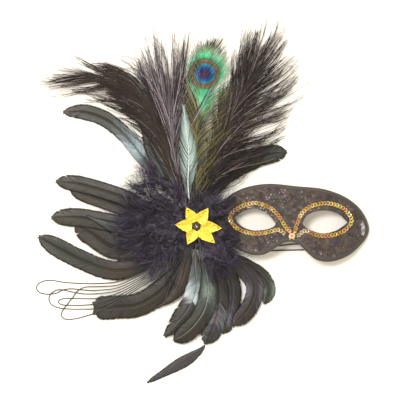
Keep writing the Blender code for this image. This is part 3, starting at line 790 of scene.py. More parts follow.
braid = {
    "level": 3.75,
    "cupPitch": 3.35,
    "cupRadius": 2.15,
    "cupLift": 1.15,
    "cupDish": 0.85,
    "cupThick": 0.16,
    "cupHole": 0.70,
    "cupLean": -13.0,
    "paleCups": 4,
    "pale": (0.95, 0.90, 0.74),
    "edgeOut": 1.0,
    "thread": 0.24,
    "threadLift": 0.62,
    "threadTint": (0.42, 0.24, 0.05),
    "twistPitch": 1.9,
    "twistStep": 0.45,
    "twistRadius": 0.34,
    "zigzag": 0.38,
    "zigzagPitch": 1.15,
    "zigzagLift": 0.45,
    "zigzagTint": (0.30, 0.17, 0.04),
    "tints": (
        (1.0, 0.70, 0.15), (0.98, 0.60, 0.12), (1.0, 0.86, 0.42), (0.95, 0.42, 0.16), (0.74, 0.72, 0.22),
        (0.98, 0.50, 0.32), (1.0, 0.92, 0.62), (1.0, 0.76, 0.20),
    ),
    "right": (
        (2.4, 6.0), (3.7, 12.4), (5.7, 20.0), (8.6, 26.6), (16.0, 33.6), (25.0, 37.4), (35.0, 39.2),
        (50.0, 36.6), (58.5, 30.4), (62.6, 23.6), (60.2, 16.4), (51.0, 8.8), (37.0, 4.4),
        (24.0, 4.8), (14.0, 7.8), (10.4, 5.8), (7.4, 2.8),
    ),
    "left": (
        (-3.2, 6.0), (-6.6, 8.4), (-12.0, 15.6), (-18.4, 23.0), (-27.5, 29.0), (-42.0, 32.0),
        (-54.5, 28.0), (-64.4, 20.6), (-67.2, 14.6), (-64.8, 8.4), (-57.0, 2.4), (-44.0, -0.6),
        (-31.0, 0.8), (-20.4, 4.4), (-14.4, 6.0), (-9.4, 3.2),
    ),
}


def makeBraids():
    rng = random.Random(19)
    model = modelSequin(braid["cupRadius"], braid["cupDish"], braid["cupThick"], braid["cupHole"], 12)
    for side in ("right", "left"):
        length = lineLength(smoothLine(flat(braid[side])))
        count = int(length / braid["cupPitch"])
        line = evenLine(flat(braid[side]), count)
        verts, faces, colours = [], [], []
        for i, here in enumerate(line):
            along = (line[min(i + 1, count - 1)] - line[max(i - 1, 0)]).normalized()
            turn = Matrix.Rotation(math.atan2(along.y, along.x), 3, "Z")
            tilt = Matrix.Rotation(math.radians(braid["cupLean"] + rng.gauss(0, 7)), 3, "Y")
            tilt = tilt @ Matrix.Rotation(math.radians(rng.gauss(0, 8)), 3, "X")
            level = braid["level"] + braid["cupLift"] + rng.uniform(-0.1, 0.1)
            base = len(verts)
            for spot in model[0]:
                verts.append(maskToWorld(here + Vector((0, 0, level)) + turn @ tilt @ spot))
            faces += [tuple(base + k for k in face) for face in model[1]]
            tint = Vector(rng.choice(braid["tints"])) * rng.uniform(0.8, 1.1)
            if i > count - braid["paleCups"]:
                tint = tint.lerp(Vector(braid["pale"]), 0.6)
            colours += [tint] * len(model[0])
        cups = pieceFrom(f"braid_cups_{side}", verts, faces)
        paint(cups, "discTint", colours)
        smoothShade(cups, 35)
        handOver(cups, "gold_braid", finishes["goldCup"])
        # two twisted gold threads along the edges and a zigzag under the cups
        threads = []
        steps = int(length / braid["twistStep"])
        fine = evenLine(flat(braid[side]), steps)
        for edge in (-1, 1):
            for start in (0, math.pi):
                points = []
                for i, here in enumerate(fine):
                    along = (fine[min(i + 1, steps - 1)] - fine[max(i - 1, 0)]).normalized()
                    across = Vector((-along.y, along.x, 0))
                    turn = i * braid["twistStep"] / braid["twistPitch"] * 2 * math.pi + start
                    out = edge * braid["edgeOut"] + math.cos(turn) * braid["twistRadius"]
                    lift = braid["level"] + braid["threadLift"] + math.sin(turn) * braid["twistRadius"]
                    points.append(maskToWorld(here + across * out + Vector((0, 0, lift))))
                threads.append((points, [braid["thread"]] * steps, [braid["threadTint"]] * steps))
        zigzag = []
        bends = int(length / braid["zigzagPitch"])
        for i, here in enumerate(evenLine(flat(braid[side]), bends)):
            ahead = fine[min(int((i + 1) * steps / bends), steps - 1)]
            along = (ahead - fine[max(int((i - 1) * steps / bends), 0)]).normalized()
            across = Vector((-along.y, along.x, 0)) * (braid["edgeOut"] * (1 if i % 2 else -1))
            zigzag.append(maskToWorld(here + across + Vector((0, 0, braid["level"] + braid["zigzagLift"]))))
        threads.append((zigzag, [braid["zigzag"]] * bends, [braid["zigzagTint"]] * bends))
        made = strandPiece(f"braid_threads_{side}", threads, 5)
        handOver(made, "gold_braid", finishes["darkThread"], "eye_braid_" + side)


# half widths, lift and angle of each turn of the knot; thread thicknesses and the two tails' route
knot = {
    "turns": ((3.1, 2.2, 0.9, 25), (2.9, 2.4, 1.2, -35), (2.4, 2.7, 1.5, 80), (1.7, 1.5, 1.9, 10)),
    "steps": 25,
    "sag": 0.7,
    "sink": 1.0,
    "thread": 0.62,
    "tint": (0.9, 0.6, 0.15),
    "tail": ((0.6, 0.4, 0.6), (1.6, -2.2, 0.2), (2.4, -4.6, -1.0)),
    "tailPoints": 8,
    "tailThread": (0.5, 0.25),
    "tailTint": (0.9, 0.7, 0.3),
}


def tieKnot():
    # turns of gold thread pulled into a small knot over the nose
    low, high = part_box("braid_knot")
    middle = (low + high) / 2 / mm
    strands = []
    steps = knot["steps"]
    for across, along, lift, angle in knot["turns"]:
        turn = Matrix.Rotation(math.radians(angle), 3, "Z")
        points = []
        for i in range(steps + 1):
            spin = 2 * math.pi * i / steps
            height = knot["sag"] * math.sin(2 * spin) + lift - knot["sink"]
            points.append(middle + turn @ Vector((across * math.cos(spin), along * math.sin(spin), height)))
        strands.append((points, [knot["thread"]] * (steps + 1), [knot["tint"]] * (steps + 1)))
    count = knot["tailPoints"]
    thick, thin = knot["tailThread"]
    for sign in (-1, 1):
        tail = [Vector((sign * x, y, z)) for x, y, z in knot["tail"]]
        points = [middle + p for p in evenLine(tail, count)]
        strands.append((points, [thick] * (count - 1) + [thin], [knot["tailTint"]] * count))
    made = strandPiece("nose_knot", strands, 6)
    handOver(made, "gold_braid", finishes["paleThread"], "braid_knot")


tab = {"size": (9.0, 8.0, 1.0), "bevel": 0.35, "ripple": 0.04}


def sewTabs():
    for side in ("right", "left"):
        low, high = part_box("elastic_tab_" + side)
        middle, size = (low + high) / 2, high - low
        slope = math.atan2(size.z - mm, size.x) * (1 if side == "right" else -1)
        bpy.ops.mesh.primitive_cube_add(size=1, location=(0, 0, 0))
        made = bpy.context.object
        made.name = "tab_" + side
        made.scale = Vector(tab["size"]) * mm
        made.rotation_euler = (0, slope, maskShape["turn"])
        made.location = middle
        settle(made)
        bpy.ops.object.mode_set(mode="EDIT")
        bpy.ops.mesh.select_all(action="SELECT")
        bpy.ops.mesh.bevel(offset=tab["bevel"] * mm, segments=3, affect="EDGES")
        bpy.ops.mesh.select_all(action="SELECT")
        bpy.ops.mesh.subdivide(number_cuts=2)
        bpy.ops.object.mode_set(mode="OBJECT")
        rng = random.Random(side)
        for vert in made.data.vertices:
            vert.co.z += rng.uniform(-tab["ripple"], tab["ripple"]) * mm
        smoothShade(made, 60)
        handOver(made, "lining_fabric", finishes["lining"], "elastic_tab_" + side)


makeSheets()
sewSequins()
sewBinding()
makeBraids()
tieKnot()
sewTabs()
print("mask sewn")


def widthShare(shape, share):
    # half width along a vane, as a share of its widest
    if shape == "leaf":
        rounded = math.sqrt(max(1 - max((share - 0.94) / 0.06, 0.0) ** 2, 0.05))
        return ease(0.60, 0.77, share) * (1 - 0.55 * ease(0.78, 0.98, share)) * rounded
    body = ease(0.10, 0.52, share)
    if shape == "round":
        return body * math.sqrt(max(1 - max((share - 0.86) / 0.14, 0.0) ** 2, 0.03))
    if shape == "blade":
        return body * math.sqrt(max(1 - ease(0.74, 1.03, share), 0.04))
    if shape == "blunt":
        return body * math.sqrt(max(1 - max((share - 0.94) / 0.06, 0.0) ** 2, 0.30))
    return body * math.sqrt(max(1 - ease(0.50, 1.0, share), 0.02))


class Spine:
    # the quill's route, read by share of its length
    def __init__(self, route, offset, depth, count=160):
        self.line = evenLine(flat(route), count)
        self.count = count
        self.length = lineLength(self.line)
        self.offset = offset
        self.depth = depth

    def at(self, share):
        place = min(max(share, 0.0), 1.0) * (self.count - 1)
        i = min(int(place), self.count - 2)
        here = self.line[i].lerp(self.line[i + 1], place - i)
        along = (self.line[min(i + 2, self.count - 1)] - self.line[max(i - 1, 0)]).normalized()
        if share > 1:
            here = here + along * ((share - 1) * self.length)
        return here, along

    def spot(self, share, across, lift=0.0, crown=0.0):
        here, along = self.at(share)
        spot = here + Vector((-along.y, along.x, 0)) * across
        radius = spot.length
        thick = (self.depth + pile["gap"]) * layerScale(radius) - pile["gap"]
        spot.z = pileHeight(radius, self.offset) + thick * (0.45 + 0.5 * crown) + lift
        return spot


# linear colours the barbs are dyed in; on the dark coque feathers teal, steel, mint, paleBlue, frost and
# lilac are painted sheen, the light their iridescence throws back, while on the silver hackle they are its
# own colour
barbColours = {
    "ink": (0.006, 0.0052, 0.006),
    "bottle": (0.009, 0.0095, 0.0075),
    "green": (0.017, 0.021, 0.0145),
    "olive": (0.025, 0.0205, 0.0135),
    "oliveLight": (0.044, 0.038, 0.027),
    "brown": (0.022, 0.0155, 0.010),
    "rust": (0.034, 0.021, 0.012),
    "slate": (0.030, 0.029, 0.031),
    "teal": (0.052, 0.069, 0.064),
    "steel": (0.10, 0.125, 0.135),
    "mint": (0.15, 0.20, 0.17),
    "paleBlue": (0.23, 0.29, 0.32),
    "frost": (0.42, 0.49, 0.52),
    "ice": (0.36, 0.49, 0.47),
    "plum": (0.020, 0.0135, 0.021),
    "plumGrey": (0.036, 0.028, 0.034),
    "lilac": (0.13, 0.115, 0.145),
}


def colourAt(stops, share, edge, glint):
    # stops: place along the feather, colour at the quill, colour at the edge
    before = after = stops[0]
    for stop in stops:
        after = stop
        if stop[0] >= share:
            break
        before = stop
    span = after[0] - before[0]
    blend = ease(0, 1, (share - before[0]) / span) if span > 0 else 0.0
    inner = Vector(barbColours[before[1]]).lerp(Vector(barbColours[after[1]]), blend)
    outer = Vector(barbColours[before[2]]).lerp(Vector(barbColours[after[2]]), blend)
    return inner.lerp(outer, ease(0.15, 0.9, edge)) * glint


def vaneStrands(spine, halfWidth, shape, stops, rng, look):
    strands = []
    reach = look["slant"] / spine.length
    count = int(spine.length * (1 - look["bare"]) / look["pitch"])
    for side in (-1, 1):
        splits = []
        for _ in range(look["splits"]):
            splits.append((rng.uniform(0.35, 0.97), rng.uniform(0.5, 1.0) * look["splitGap"] / spine.length))
        for i in range(count):
            root = look["bare"] + (1 - look["bare"]) * (i + rng.uniform(0.0, 0.5)) / count
            run = reach * min(1.0, (1.02 - root) / (2 * reach))
            tip = root + run * rng.uniform(0.94, 1.05)
            for place, gap in splits:
                off = tip - place
                tip += math.copysign(gap * math.exp(-abs(off) / (gap * 1.5)), off) * 0.5
            half = halfWidth * widthShare(shape, min(tip, 1.0)) * (1 + rng.gauss(0, look["ragged"]))
            glint = rng.uniform(0.82, 1.18) * (1 - look["band"] * (i % 3 == 0))
            lift = rng.uniform(-0.08, 0.08)
            shift = rng.gauss(0, look["patchy"]) + look["patchy"] * math.sin(i * 0.31 + side)
            points, widths, tints = [], [], []
            for k in range(look["steps"] + 1):
                t = k / look["steps"]
                share = root + (tip - root) * (0.55 * t + 0.45 * t * t)
                across = half * (t ** 0.9)
                crown = 1 - t * t
                points.append(spine.spot(share, side * across, lift * t, crown))
                widths.append(look["barb"] * (0.75 + 0.5 * t) * (1 - 0.85 * ease(0.75, 1.0, t)))
                tints.append(colourAt(stops, min(max(share + shift, 0), 1), t, glint))
            strands.append((points, widths, tints))
    return strands


def quillStrand(spine, root, tip, colour, end=1.0, lift=0.25):
    points, widths = [], []
    for i in range(41):
        share = end * i / 40
        points.append(spine.spot(share, 0.0, lift, 1.0))
        widths.append(root + (tip - root) * i / 40)
    return points, widths, [colour] * 41


# how far barbs slant, their pitch and width, the bare foot of the quill, splits in the vane, how ragged
# its edge and how patchy its colour is, and how much darker every third barb is
vaneLook = {
    "slant": 13.0, "pitch": 0.56, "barb": 0.62, "steps": 5, "bare": 0.13, "splits": 3, "splitGap": 2.0,
    "ragged": 0.028, "patchy": 0.014, "band": 0.0, "quill": (0.055, 0.046, 0.036),
}
vaneOddities = {
    "coque_13": {"splits": 5, "splitGap": 3.0, "quill": (0.20, 0.20, 0.21)},
    "coque_14": {"quill": (0.30, 0.34, 0.30)},
    "coque_15": {"bare": 0.62, "splits": 4},
    "coque_16": {"splits": 5, "splitGap": 2.6, "patchy": 0.03},
    "coque_17": {"splits": 6, "splitGap": 3.0, "patchy": 0.04},
    "coque_18": {"splits": 4, "patchy": 0.03},
    "coque_19": {"splits": 6, "splitGap": 4.0, "patchy": 0.03},
}

# name, layer, half width, shape, colour stops (share, at the quill, at the edge), route
# on these dark feathers the pale stops are painted sheen, placed where the iridescence catches the light
coqueFeathers = (
    ("coque_01", 0, 7.5, "round", ((0, "ink", "brown"), (0.55, "olive", "rust"), (1, "oliveLight", "olive")),
     ((6, 9), (21, 38), (37, 57), (56, 66), (72, 71))),
    ("coque_02", 1, 10.0, "round", ((0, "ink", "brown"), (0.6, "brown", "olive"), (0.85, "green", "olive"),
                                   (1, "green", "green")),
     ((4, 10), (20, 41), (47, 65), (74, 76), (97, 80))),
    ("coque_03", 2, 10.0, "point",
     ((0, "ink", "bottle"), (0.35, "brown", "bottle"), (0.55, "teal", "olive"), (0.72, "green", "brown"),
      (1, "olive", "brown")),
     ((-8, 9), (-33, 55), (-49, 86), (-61, 117))),
    ("coque_04", 1, 8.5, "round",
     ((0, "ink", "ink"), (0.26, "slate", "ink"), (0.40, "slate", "slate"), (0.49, "paleBlue", "paleBlue"),
      (0.58, "steel", "paleBlue"), (0.66, "teal", "slate"), (0.73, "olive", "green"),
      (1, "olive", "oliveLight")),
     ((-9, 7), (-39, 50), (-60, 77), (-77, 98), (-98, 115), (-121, 123), (-143, 123))),
    ("coque_05", 2, 9.0, "round", ((0, "ink", "plum"), (0.5, "brown", "ink"), (0.8, "olive", "brown"),
                                  (1, "oliveLight", "olive")),
     ((-11, 3), (-40, 14), (-66, 26), (-94, 36), (-126, 45), (-151, 48))),
    ("coque_06", 1, 8.5, "round", ((0, "ink", "plum"), (0.6, "brown", "rust"), (1, "olive", "brown")),
     ((-11, 1), (-45, 8), (-83, 21), (-112, 31), (-136, 39))),
    ("coque_07", 3, 8.0, "point", ((0, "ink", "ink"), (0.5, "green", "olive"), (0.8, "green", "bottle"),
                                  (1, "brown", "bottle")),
     ((-11, 0), (-40, -5), (-66, -6), (-93, 0), (-118, 10))),
    ("coque_08", 2, 10.0, "round", ((0, "ink", "plum"), (0.45, "plumGrey", "plum"), (0.75, "olive", "brown"),
                                   (0.92, "oliveLight", "olive"), (1, "olive", "oliveLight")),
     ((-11, -1), (-44, -3), (-75, 0), (-101, 5), (-127, 9), (-156, 9))),
    ("coque_09", 1, 13.0, "round", ((0, "ink", "ink"), (0.45, "brown", "rust"), (0.7, "olive", "brown"),
                                   (1, "olive", "rust")),
     ((-11, -3), (-38, -14), (-66, -24), (-92, -22), (-112, -9), (-131, 1))),
    ("coque_10", 0, 10.5, "round",
     ((0, "ink", "ink"), (0.45, "rust", "brown"), (0.7, "green", "olive"), (1, "green", "oliveLight")),
     ((-10, -5), (-34, -26), (-61, -44), (-92, -48), (-124, -37), (-153, -22), (-170, -12))),
    ("coque_11", 1, 13.0, "blunt", ((0, "ink", "ink"), (0.5, "brown", "olive"), (0.8, "olive", "brown"),
                                   (1, "oliveLight", "slate")),
     ((-7, -9), (-20, -42), (-36, -68), (-62, -85), (-88, -88), (-111, -89))),
    ("coque_12", 2, 9.0, "point", ((0, "ink", "plum"), (0.5, "rust", "brown"), (1, "brown", "rust")),
     ((-4, -11), (-12, -44), (-18, -64), (-28, -78), (-42, -88))),
    ("coque_13", 3, 11.0, "blade",
     ((0, "ink", "ink"), (0.22, "slate", "lilac"), (0.36, "teal", "steel"), (0.50, "paleBlue", "frost"),
      (0.57, "frost", "frost"), (0.63, "slate", "plumGrey"), (0.8, "olive", "green"), (1, "olive", "green")),
     ((0, -11), (-1, -40), (0, -66), (-7, -86), (-20, -104), (-34, -119))),
    ("coque_14", 4, 10.5, "round",
     ((0, "ink", "ink"), (0.15, "mint", "teal"), (0.30, "teal", "green"), (0.48, "mint", "green"),
      (0.58, "slate", "teal"), (0.7, "olive", "green"), (0.85, "brown", "olive"), (1, "olive", "bottle")),
     ((2, -11), (9, -42), (13, -68), (8, -92), (-7, -112), (-24, -124))),
    ("coque_15", 0, 6.3, "leaf",
     ((0, "plumGrey", "plumGrey"), (0.6, "plumGrey", "plum"), (0.8, "plumGrey", "slate"),
      (1, "slate", "plum")),
     ((1, -11), (9, -70), (14, -108), (9, -129), (-4, -141), (-26, -154), (-52, -169))),
    ("coque_16", 2, 11.5, "round", ((0, "ink", "ink"), (0.45, "brown", "bottle"), (0.66, "slate", "brown"),
                                  (0.76, "lilac", "steel"), (0.84, "slate", "slate"), (1, "bottle", "slate")),
     ((4, -11), (17, -44), (24, -72), (21, -100), (10, -127))),
    ("coque_17", 1, 10.0, "round", ((0, "ink", "ink"), (0.45, "bottle", "brown"), (0.72, "plum", "bottle"),
                                  (0.86, "lilac", "slate"), (0.94, "olive", "slate"), (1, "olive", "green")),
     ((7, -9), (28, -40), (38, -66), (36, -93), (28, -116))),
    ("coque_18", 3, 9.5, "round", ((0, "ink", "ink"), (0.45, "plum", "brown"), (0.56, "plum", "slate"),
                                  (0.63, "plum", "lilac"), (0.8, "brown", "plum"), (1, "rust", "slate")),
     ((9, -8), (34, -32), (54, -50), (63, -66), (57, -88), (40, -107))),
    ("coque_19", 0, 7.5, "round", ((0, "ink", "ink"), (0.5, "olive", "brown"), (0.74, "olive", "green"),
                                  (0.86, "green", "mint"), (1, "green", "olive")),
     ((10, -7), (30, -29), (54, -43), (71, -54), (78, -68), (74, -84))),
)


def layCoque():
    for number, (name, layer, halfWidth, shape, stops, route) in enumerate(coqueFeathers):
        rng = random.Random(100 + number)
        offset = layer * pile["layerPitch"]
        spine = Spine(route, offset, pile["layerPitch"] - pile["gap"])
        look = dict(vaneLook, **vaneOddities.get(name, {}))
        strands = vaneStrands(spine, halfWidth, shape, stops, rng, look)
        strands.append(quillStrand(spine, 0.70, 0.20, look["quill"], 0.975, 0.10))
        made = strandPiece(name + "_vane", strands, 4, True)
        handOver(made, "coque_barb", finishes["coque"], name)


layCoque()
print("coque feathers laid")


def barbPath(start, heading, length, steps, bend, wave, rng, level):
    # walks out from the quill, turning a little at each step
    points = [start]
    phase, swing = rng.uniform(0, 6.28), rng.uniform(0.5, 1.0) * wave
    for k in range(1, steps + 1):
        t = k / steps
        heading += bend / steps + swing * math.sin(phase + 5.0 * t) / steps
        here = points[-1] + Vector((math.cos(heading), math.sin(heading), 0)) * (length / steps)
        here.z = level(here, t)
        points.append(here)
    return points


def fuzz(strands, points, tint, pitch, size, rng, width=0.12):
    # barbules on both sides of one barb
    total = lineLength(points)
    count = int(total / pitch)
    at, gone = 0, 0.0
    for i in range(count):
        wanted = total * (i + 0.5) / count
        while at < len(points) - 2 and gone + (points[at + 1] - points[at]).length < wanted:
            gone += (points[at + 1] - points[at]).length
            at += 1
        along = points[at + 1] - points[at]
        here = points[at] + along * ((wanted - gone) / along.length)
        along = along.normalized()
        side = Vector((-along.y, along.x, 0))
        short = 1 - 0.55 * ease(0.7, 1.0, wanted / total)
        for sign in (-1, 1):
            reach = size * short * rng.uniform(0.6, 1.2)
            tip = here + (along * rng.uniform(0.5, 1.0) + side * sign * rng.uniform(0.7, 1.0)
                          + upwards * rng.uniform(-0.35, 0.5)).normalized() * reach
            strands.append((here, tip, width * rng.uniform(0.7, 1.2), tint))


def fuzzMesh(verts, faces, colours, barbules):
    # each barbule is a slim closed spike
    for here, tip, width, tint in barbules:
        base = len(verts)
        along = (tip - here).normalized()
        side = along.cross(upwards)
        side = side.normalized() if side.length > 1e-5 else Vector((1, 0, 0))
        up = side.cross(along)
        verts += [here + side * width, here - side * width * 0.5 + up * width * 0.8,
                  here - side * width * 0.5 - up * width * 0.8, tip]
        colours += [tint] * 4
        faces += [(base, base + 1, base + 3), (base + 1, base + 2, base + 3), (base + 2, base, base + 3),
                  (base, base + 2, base + 1)]


def plumePiece(name, strands, barbules, sides=3):
    made = strandPiece(name, strands, sides)
    verts = [v.co / mm for v in made.data.vertices]
    faces = [tuple(face.vertices) for face in made.data.polygons]
    colours = [Vector(c.color[:3]) for c in made.data.color_attributes["barbTint"].data]
    bpy.data.objects.remove(made, do_unlink=True)
    fuzzMesh(verts, faces, colours, barbules)
    made = pieceFrom(name, verts, faces)
    paint(made, "barbTint", colours)
    selectOnly(made)
    bpy.ops.object.shade_smooth()
    return made


# each bunch of barbs: where its locks leave the quill, the line their tips reach, how many locks,
# how many barbs hang together in one, and how loose their tips are
# colours: dark and light, between which each lock's shade is drawn, and pale, a painted highlight given to
# paleShare of the barbs
plumes = {
    "ostrich_plume_tall": {
        "offset": 5.6, "depth": 3.2, "route": ((-5, 10), (-18, 50), (-27, 104), (-33, 158), (-36, 200)),
        "thick": 0.50, "fuzzPitch": 9.0, "fuzz": 0.4, "wave": 3.6, "gather": 0.78,
        "quill": (0.16, 0.12, 0.12),
        "colours": ((0.012, 0.009, 0.012), (0.066, 0.049, 0.058), (0.44, 0.37, 0.41)), "paleShare": 0.34,
        "bunches": (
            {"roots": (0.02, 0.50), "locks": 44, "barbs": 5, "loose": 5.0, "tips": (
                (-40, 90), (-56, 120), (-62, 146), (-66, 166), (-68, 186), (-64, 204), (-52, 211),
                (-38, 214))},
            {"roots": (0.02, 0.46), "locks": 44, "barbs": 5, "loose": 5.0, "tips": (
                (2, 108), (9, 138), (18, 164), (28, 188), (20, 204), (6, 209), (-8, 211), (-22, 213))},
            {"roots": (0.10, 0.58), "locks": 26, "barbs": 4, "loose": 6.0, "tips": (
                (-50, 150), (-54, 178), (-50, 200), (-36, 212), (-16, 210), (4, 204), (14, 188), (8, 162))},
            {"roots": (0.16, 0.46), "locks": 12, "barbs": 3, "loose": 5.0, "bow": (-0.9, -0.2), "tips": (
                (-76, 160), (-94, 182), (-92, 194), (-78, 200), (-66, 210), (-60, 222))},
        ),
    },
    "ostrich_plume_right": {
        "offset": 5.6, "depth": 3.2, "route": ((2, 11), (12, 52), (35, 112), (60, 166), (80, 212)),
        "thick": 0.52, "fuzzPitch": 9.0, "fuzz": 0.4, "wave": 3.2, "gather": 0.80,
        "quill": (0.04, 0.03, 0.026),
        "colours": ((0.008, 0.0055, 0.006), (0.036, 0.025, 0.022), (0.30, 0.23, 0.20)), "paleShare": 0.18,
        "bunches": (
            {"roots": (0.02, 0.62), "locks": 56, "barbs": 5, "loose": 4.5, "tips": (
                (8, 92), (20, 124), (32, 150), (42, 171), (48, 194), (54, 212), (64, 222), (76, 228))},
            {"roots": (0.01, 0.42), "locks": 40, "barbs": 4, "loose": 5.5, "bow": (0.1, 1.2), "tips": (
                (52, 64), (66, 72), (78, 82), (90, 92), (98, 103), (104, 112), (112, 122), (104, 130),
                (112, 140), (118, 150))},
            {"roots": (0.36, 0.74), "locks": 36, "barbs": 4, "loose": 5.0, "bow": (0.1, 1.2), "tips": (
                (120, 152), (118, 160), (114, 168), (120, 175), (111, 184), (107, 196), (110, 205),
                (106, 214), (99, 223), (91, 228), (82, 230))},
            {"roots": (0.02, 0.55), "locks": 40, "barbs": 5, "loose": 5.0, "tips": (
                (48, 84), (62, 100), (74, 118), (84, 138), (88, 158), (84, 178), (80, 196), (72, 208))},
        ),
    },
    "ostrich_plume_curled": {
        "offset": 9.2, "depth": 2.6,
        "route": ((-7, 9), (-23, 53), (-40, 104), (-58, 138), (-80, 153), (-106, 161), (-132, 160),
                  (-156, 154), (-176, 148)),
        "thick": 0.56, "fuzzPitch": 8.0, "fuzz": 0.45, "wave": 0.6, "gather": 0.45,
        "quill": (0.26, 0.20, 0.20),
        "colours": ((0.025, 0.0165, 0.013), (0.041, 0.028, 0.021), (0.26, 0.22, 0.24)), "paleShare": 0.05,
        "bunches": (
            {"roots": (0.08, 0.46), "locks": 90, "barbs": 6, "loose": 0.7, "bow": (-0.85, -0.45),
             "short": 0.35,
             "tips": ((-33, 104), (-44, 127), (-56, 148), (-69, 163), (-87, 174), (-107, 179), (-122, 173))},
            {"roots": (0.04, 0.42), "locks": 70, "barbs": 6, "loose": 1.8, "bow": (-0.6, -0.1), "short": 0.5,
             "tips": ((-36, 76), (-47, 96), (-60, 112), (-74, 124), (-88, 135), (-102, 146), (-112, 156),
                      (-118, 166))},
            {"roots": (0.10, 0.40), "locks": 40, "barbs": 6, "loose": 2.0, "bow": (-0.7, -0.2),
             "tips": ((-50, 112), (-62, 130), (-76, 144), (-92, 154), (-106, 160), (-112, 166))},
            {"roots": (0.30, 0.72), "locks": 24, "barbs": 4, "loose": 3.6, "tips": (
                (-96, 134), (-108, 139), (-122, 143), (-138, 147), (-154, 148), (-168, 146), (-174, 148),
                (-170, 154), (-160, 160))},
            {"roots": (0.44, 0.72), "locks": 14, "barbs": 3, "loose": 4.0, "bow": (-0.4, 0.4), "tips": (
                (-118, 180), (-132, 180), (-144, 178), (-142, 186), (-156, 168), (-168, 162), (-173, 152))},
            {"roots": (0.10, 0.50), "locks": 14, "barbs": 3, "loose": 3.0, "tips": (
                (-60, 98), (-76, 112), (-88, 122), (-100, 132), (-112, 140))},
        ),
    },
}


# what all loose barbs share: how straight they arrive, how far they follow the quill, their wavering,
# spread of their roots, shortest share, loft, clearance under them and how thin their tips are
barbHabit = {
    "straight": 0.9, "leave": 0.40, "arrive": 0.32, "ripples": 5.0, "steps": 11, "rootSpread": 0.025,
    "shortest": 0.78, "loft": 3.4, "loftSpread": 0.3, "clear": 0.6, "thinning": 0.62, "short": 0.28,
    "bow": (-0.25, 0.45), "waves": (0.6, 1.2), "shades": (0.75, 1.25),
}


def alongLine(points, share):
    place = min(max(share, 0.0), 0.9999) * (len(points) - 1)
    i = int(place)
    return Vector((*points[i], 0)).lerp(Vector((*points[i + 1], 0)), place - i)


def sweptBarb(spine, root, tip, steps, bow, wave, phase, level):
    # leaves along the quill and swings out to its tip, with a slight waver
    start, along = spine.at(root)
    reach = (tip - start).length
    straight = (tip - start).normalized()
    finish = (straight * barbHabit["straight"] + along * bow).normalized()
    leave = start + along * reach * barbHabit["leave"]
    arrive = tip - finish * reach * barbHabit["arrive"]
    line = interpolate_bezier(start, leave, arrive, tip, steps + 1)
    points = []
    for k, here in enumerate(line):
        t = k / steps
        side = Vector((-straight.y, straight.x, 0)) * (wave * t * math.sin(phase + barbHabit["ripples"] * t))
        here = Vector(here) + side
        here.z = level(here, t)
        points.append(here)
    return points


def layPlumes():
    steps, loosen = barbHabit["steps"], barbHabit["rootSpread"]
    for number, (name, plume) in enumerate(plumes.items()):
        rng = random.Random(300 + number)
        spine = Spine(plume["route"], plume["offset"], plume["depth"])
        dark, light, pale = (Vector(colour) for colour in plume["colours"])
        widths = [plume["thick"] * (1 - barbHabit["thinning"] * n / steps) for n in range(steps + 1)]
        strands, barbules = [], []
        for bunch in plume["bunches"]:
            first, last = bunch["roots"]
            loose = bunch["loose"]
            apart = loose * (1 - plume["gather"])
            for i in range(bunch["locks"]):
                share = (i + rng.random()) / bunch["locks"]
                root = first + (last - first) * share
                aim = alongLine(bunch["tips"], share)
                aim += Vector((rng.gauss(0, loose), rng.gauss(0, loose), 0))
                short = bunch.get("short", barbHabit["short"])
                aim = spine.at(root)[0].lerp(aim, 1.02 - short * rng.random() ** 2.2)
                bow, phase = rng.uniform(*bunch.get("bow", barbHabit["bow"])), rng.uniform(0, 6.28)
                loft = rng.uniform(0.0, barbHabit["loft"])
                shade = dark.lerp(light, rng.random())
                for _ in range(bunch["barbs"]):
                    tip = aim + Vector((rng.gauss(0, apart), rng.gauss(0, apart), 0))
                    leaves = root + rng.uniform(-loosen, loosen)
                    tip = spine.at(leaves)[0].lerp(tip, rng.uniform(barbHabit["shortest"], 1.0))
                    lift = loft + rng.uniform(-barbHabit["loftSpread"], barbHabit["loftSpread"])

                    def level(spot, t, lift=lift, offset=plume["offset"]):
                        ground = pileHeight(spot.length, offset) + barbHabit["clear"]
                        return ground + max(lift, 0) * math.sin(2.6 * t)

                    wave = plume["wave"] * rng.uniform(*barbHabit["waves"])
                    turn = phase + rng.gauss(0, 0.3)
                    points = sweptBarb(spine, max(leaves, 0), tip, steps, bow, wave, turn, level)
                    tint = shade * rng.uniform(*barbHabit["shades"])
                    # a share of the barbs is drawn toward the pale colour: painted highlights, the light
                    # caught along the glossy barbs
                    if rng.random() < plume["paleShare"]:
                        tint = tint.lerp(pale, rng.uniform(0.2, 1.0))
                    strands.append((points, widths, [tint] * (steps + 1)))
                    fuzz(barbules, points, tint, plume["fuzzPitch"], plume["fuzz"], rng)
        strands.append(quillStrand(spine, 1.0, 0.25, plume["quill"], 0.80, 1.2))
        made = plumePiece(name + "_barbs", strands, barbules)
        handOver(made, "ostrich_barb", finishes["ostrich"], name)


layPlumes()
print("ostrich plumes laid")


peacock = {
    "offset": 9.2, "depth": 2.4, "route": ((0, 12), (0, 60), (1, 112), (7, 150), (11, 192)),
    "eye": (9.0, 164.0), "eyeSize": (21.0, 20.5), "count": 230, "barb": 0.36, "steps": 20,
    "quill": (0.14, 0.13, 0.08), "gold": (0.30, 0.23, 0.055), "goldShare": 0.20, "sparse": 0.30,
    "loose": 2.6, "loft": 0.9, "clear": 1.2, "wave": 0.5, "fuzzPitch": 1.6, "fuzz": 1.2,
    "left": ((-6, 44), (-11, 68), (-15, 93), (-17, 117), (-16, 136), (-13, 152), (-11, 169), (-7, 182),
             (0, 192), (7, 199), (14, 203)),
    "right": ((12, 50), (22, 74), (29, 95), (36, 116), (40, 136), (41, 153), (38, 168), (35, 181), (32, 193),
              (26, 202), (17, 204)),
}
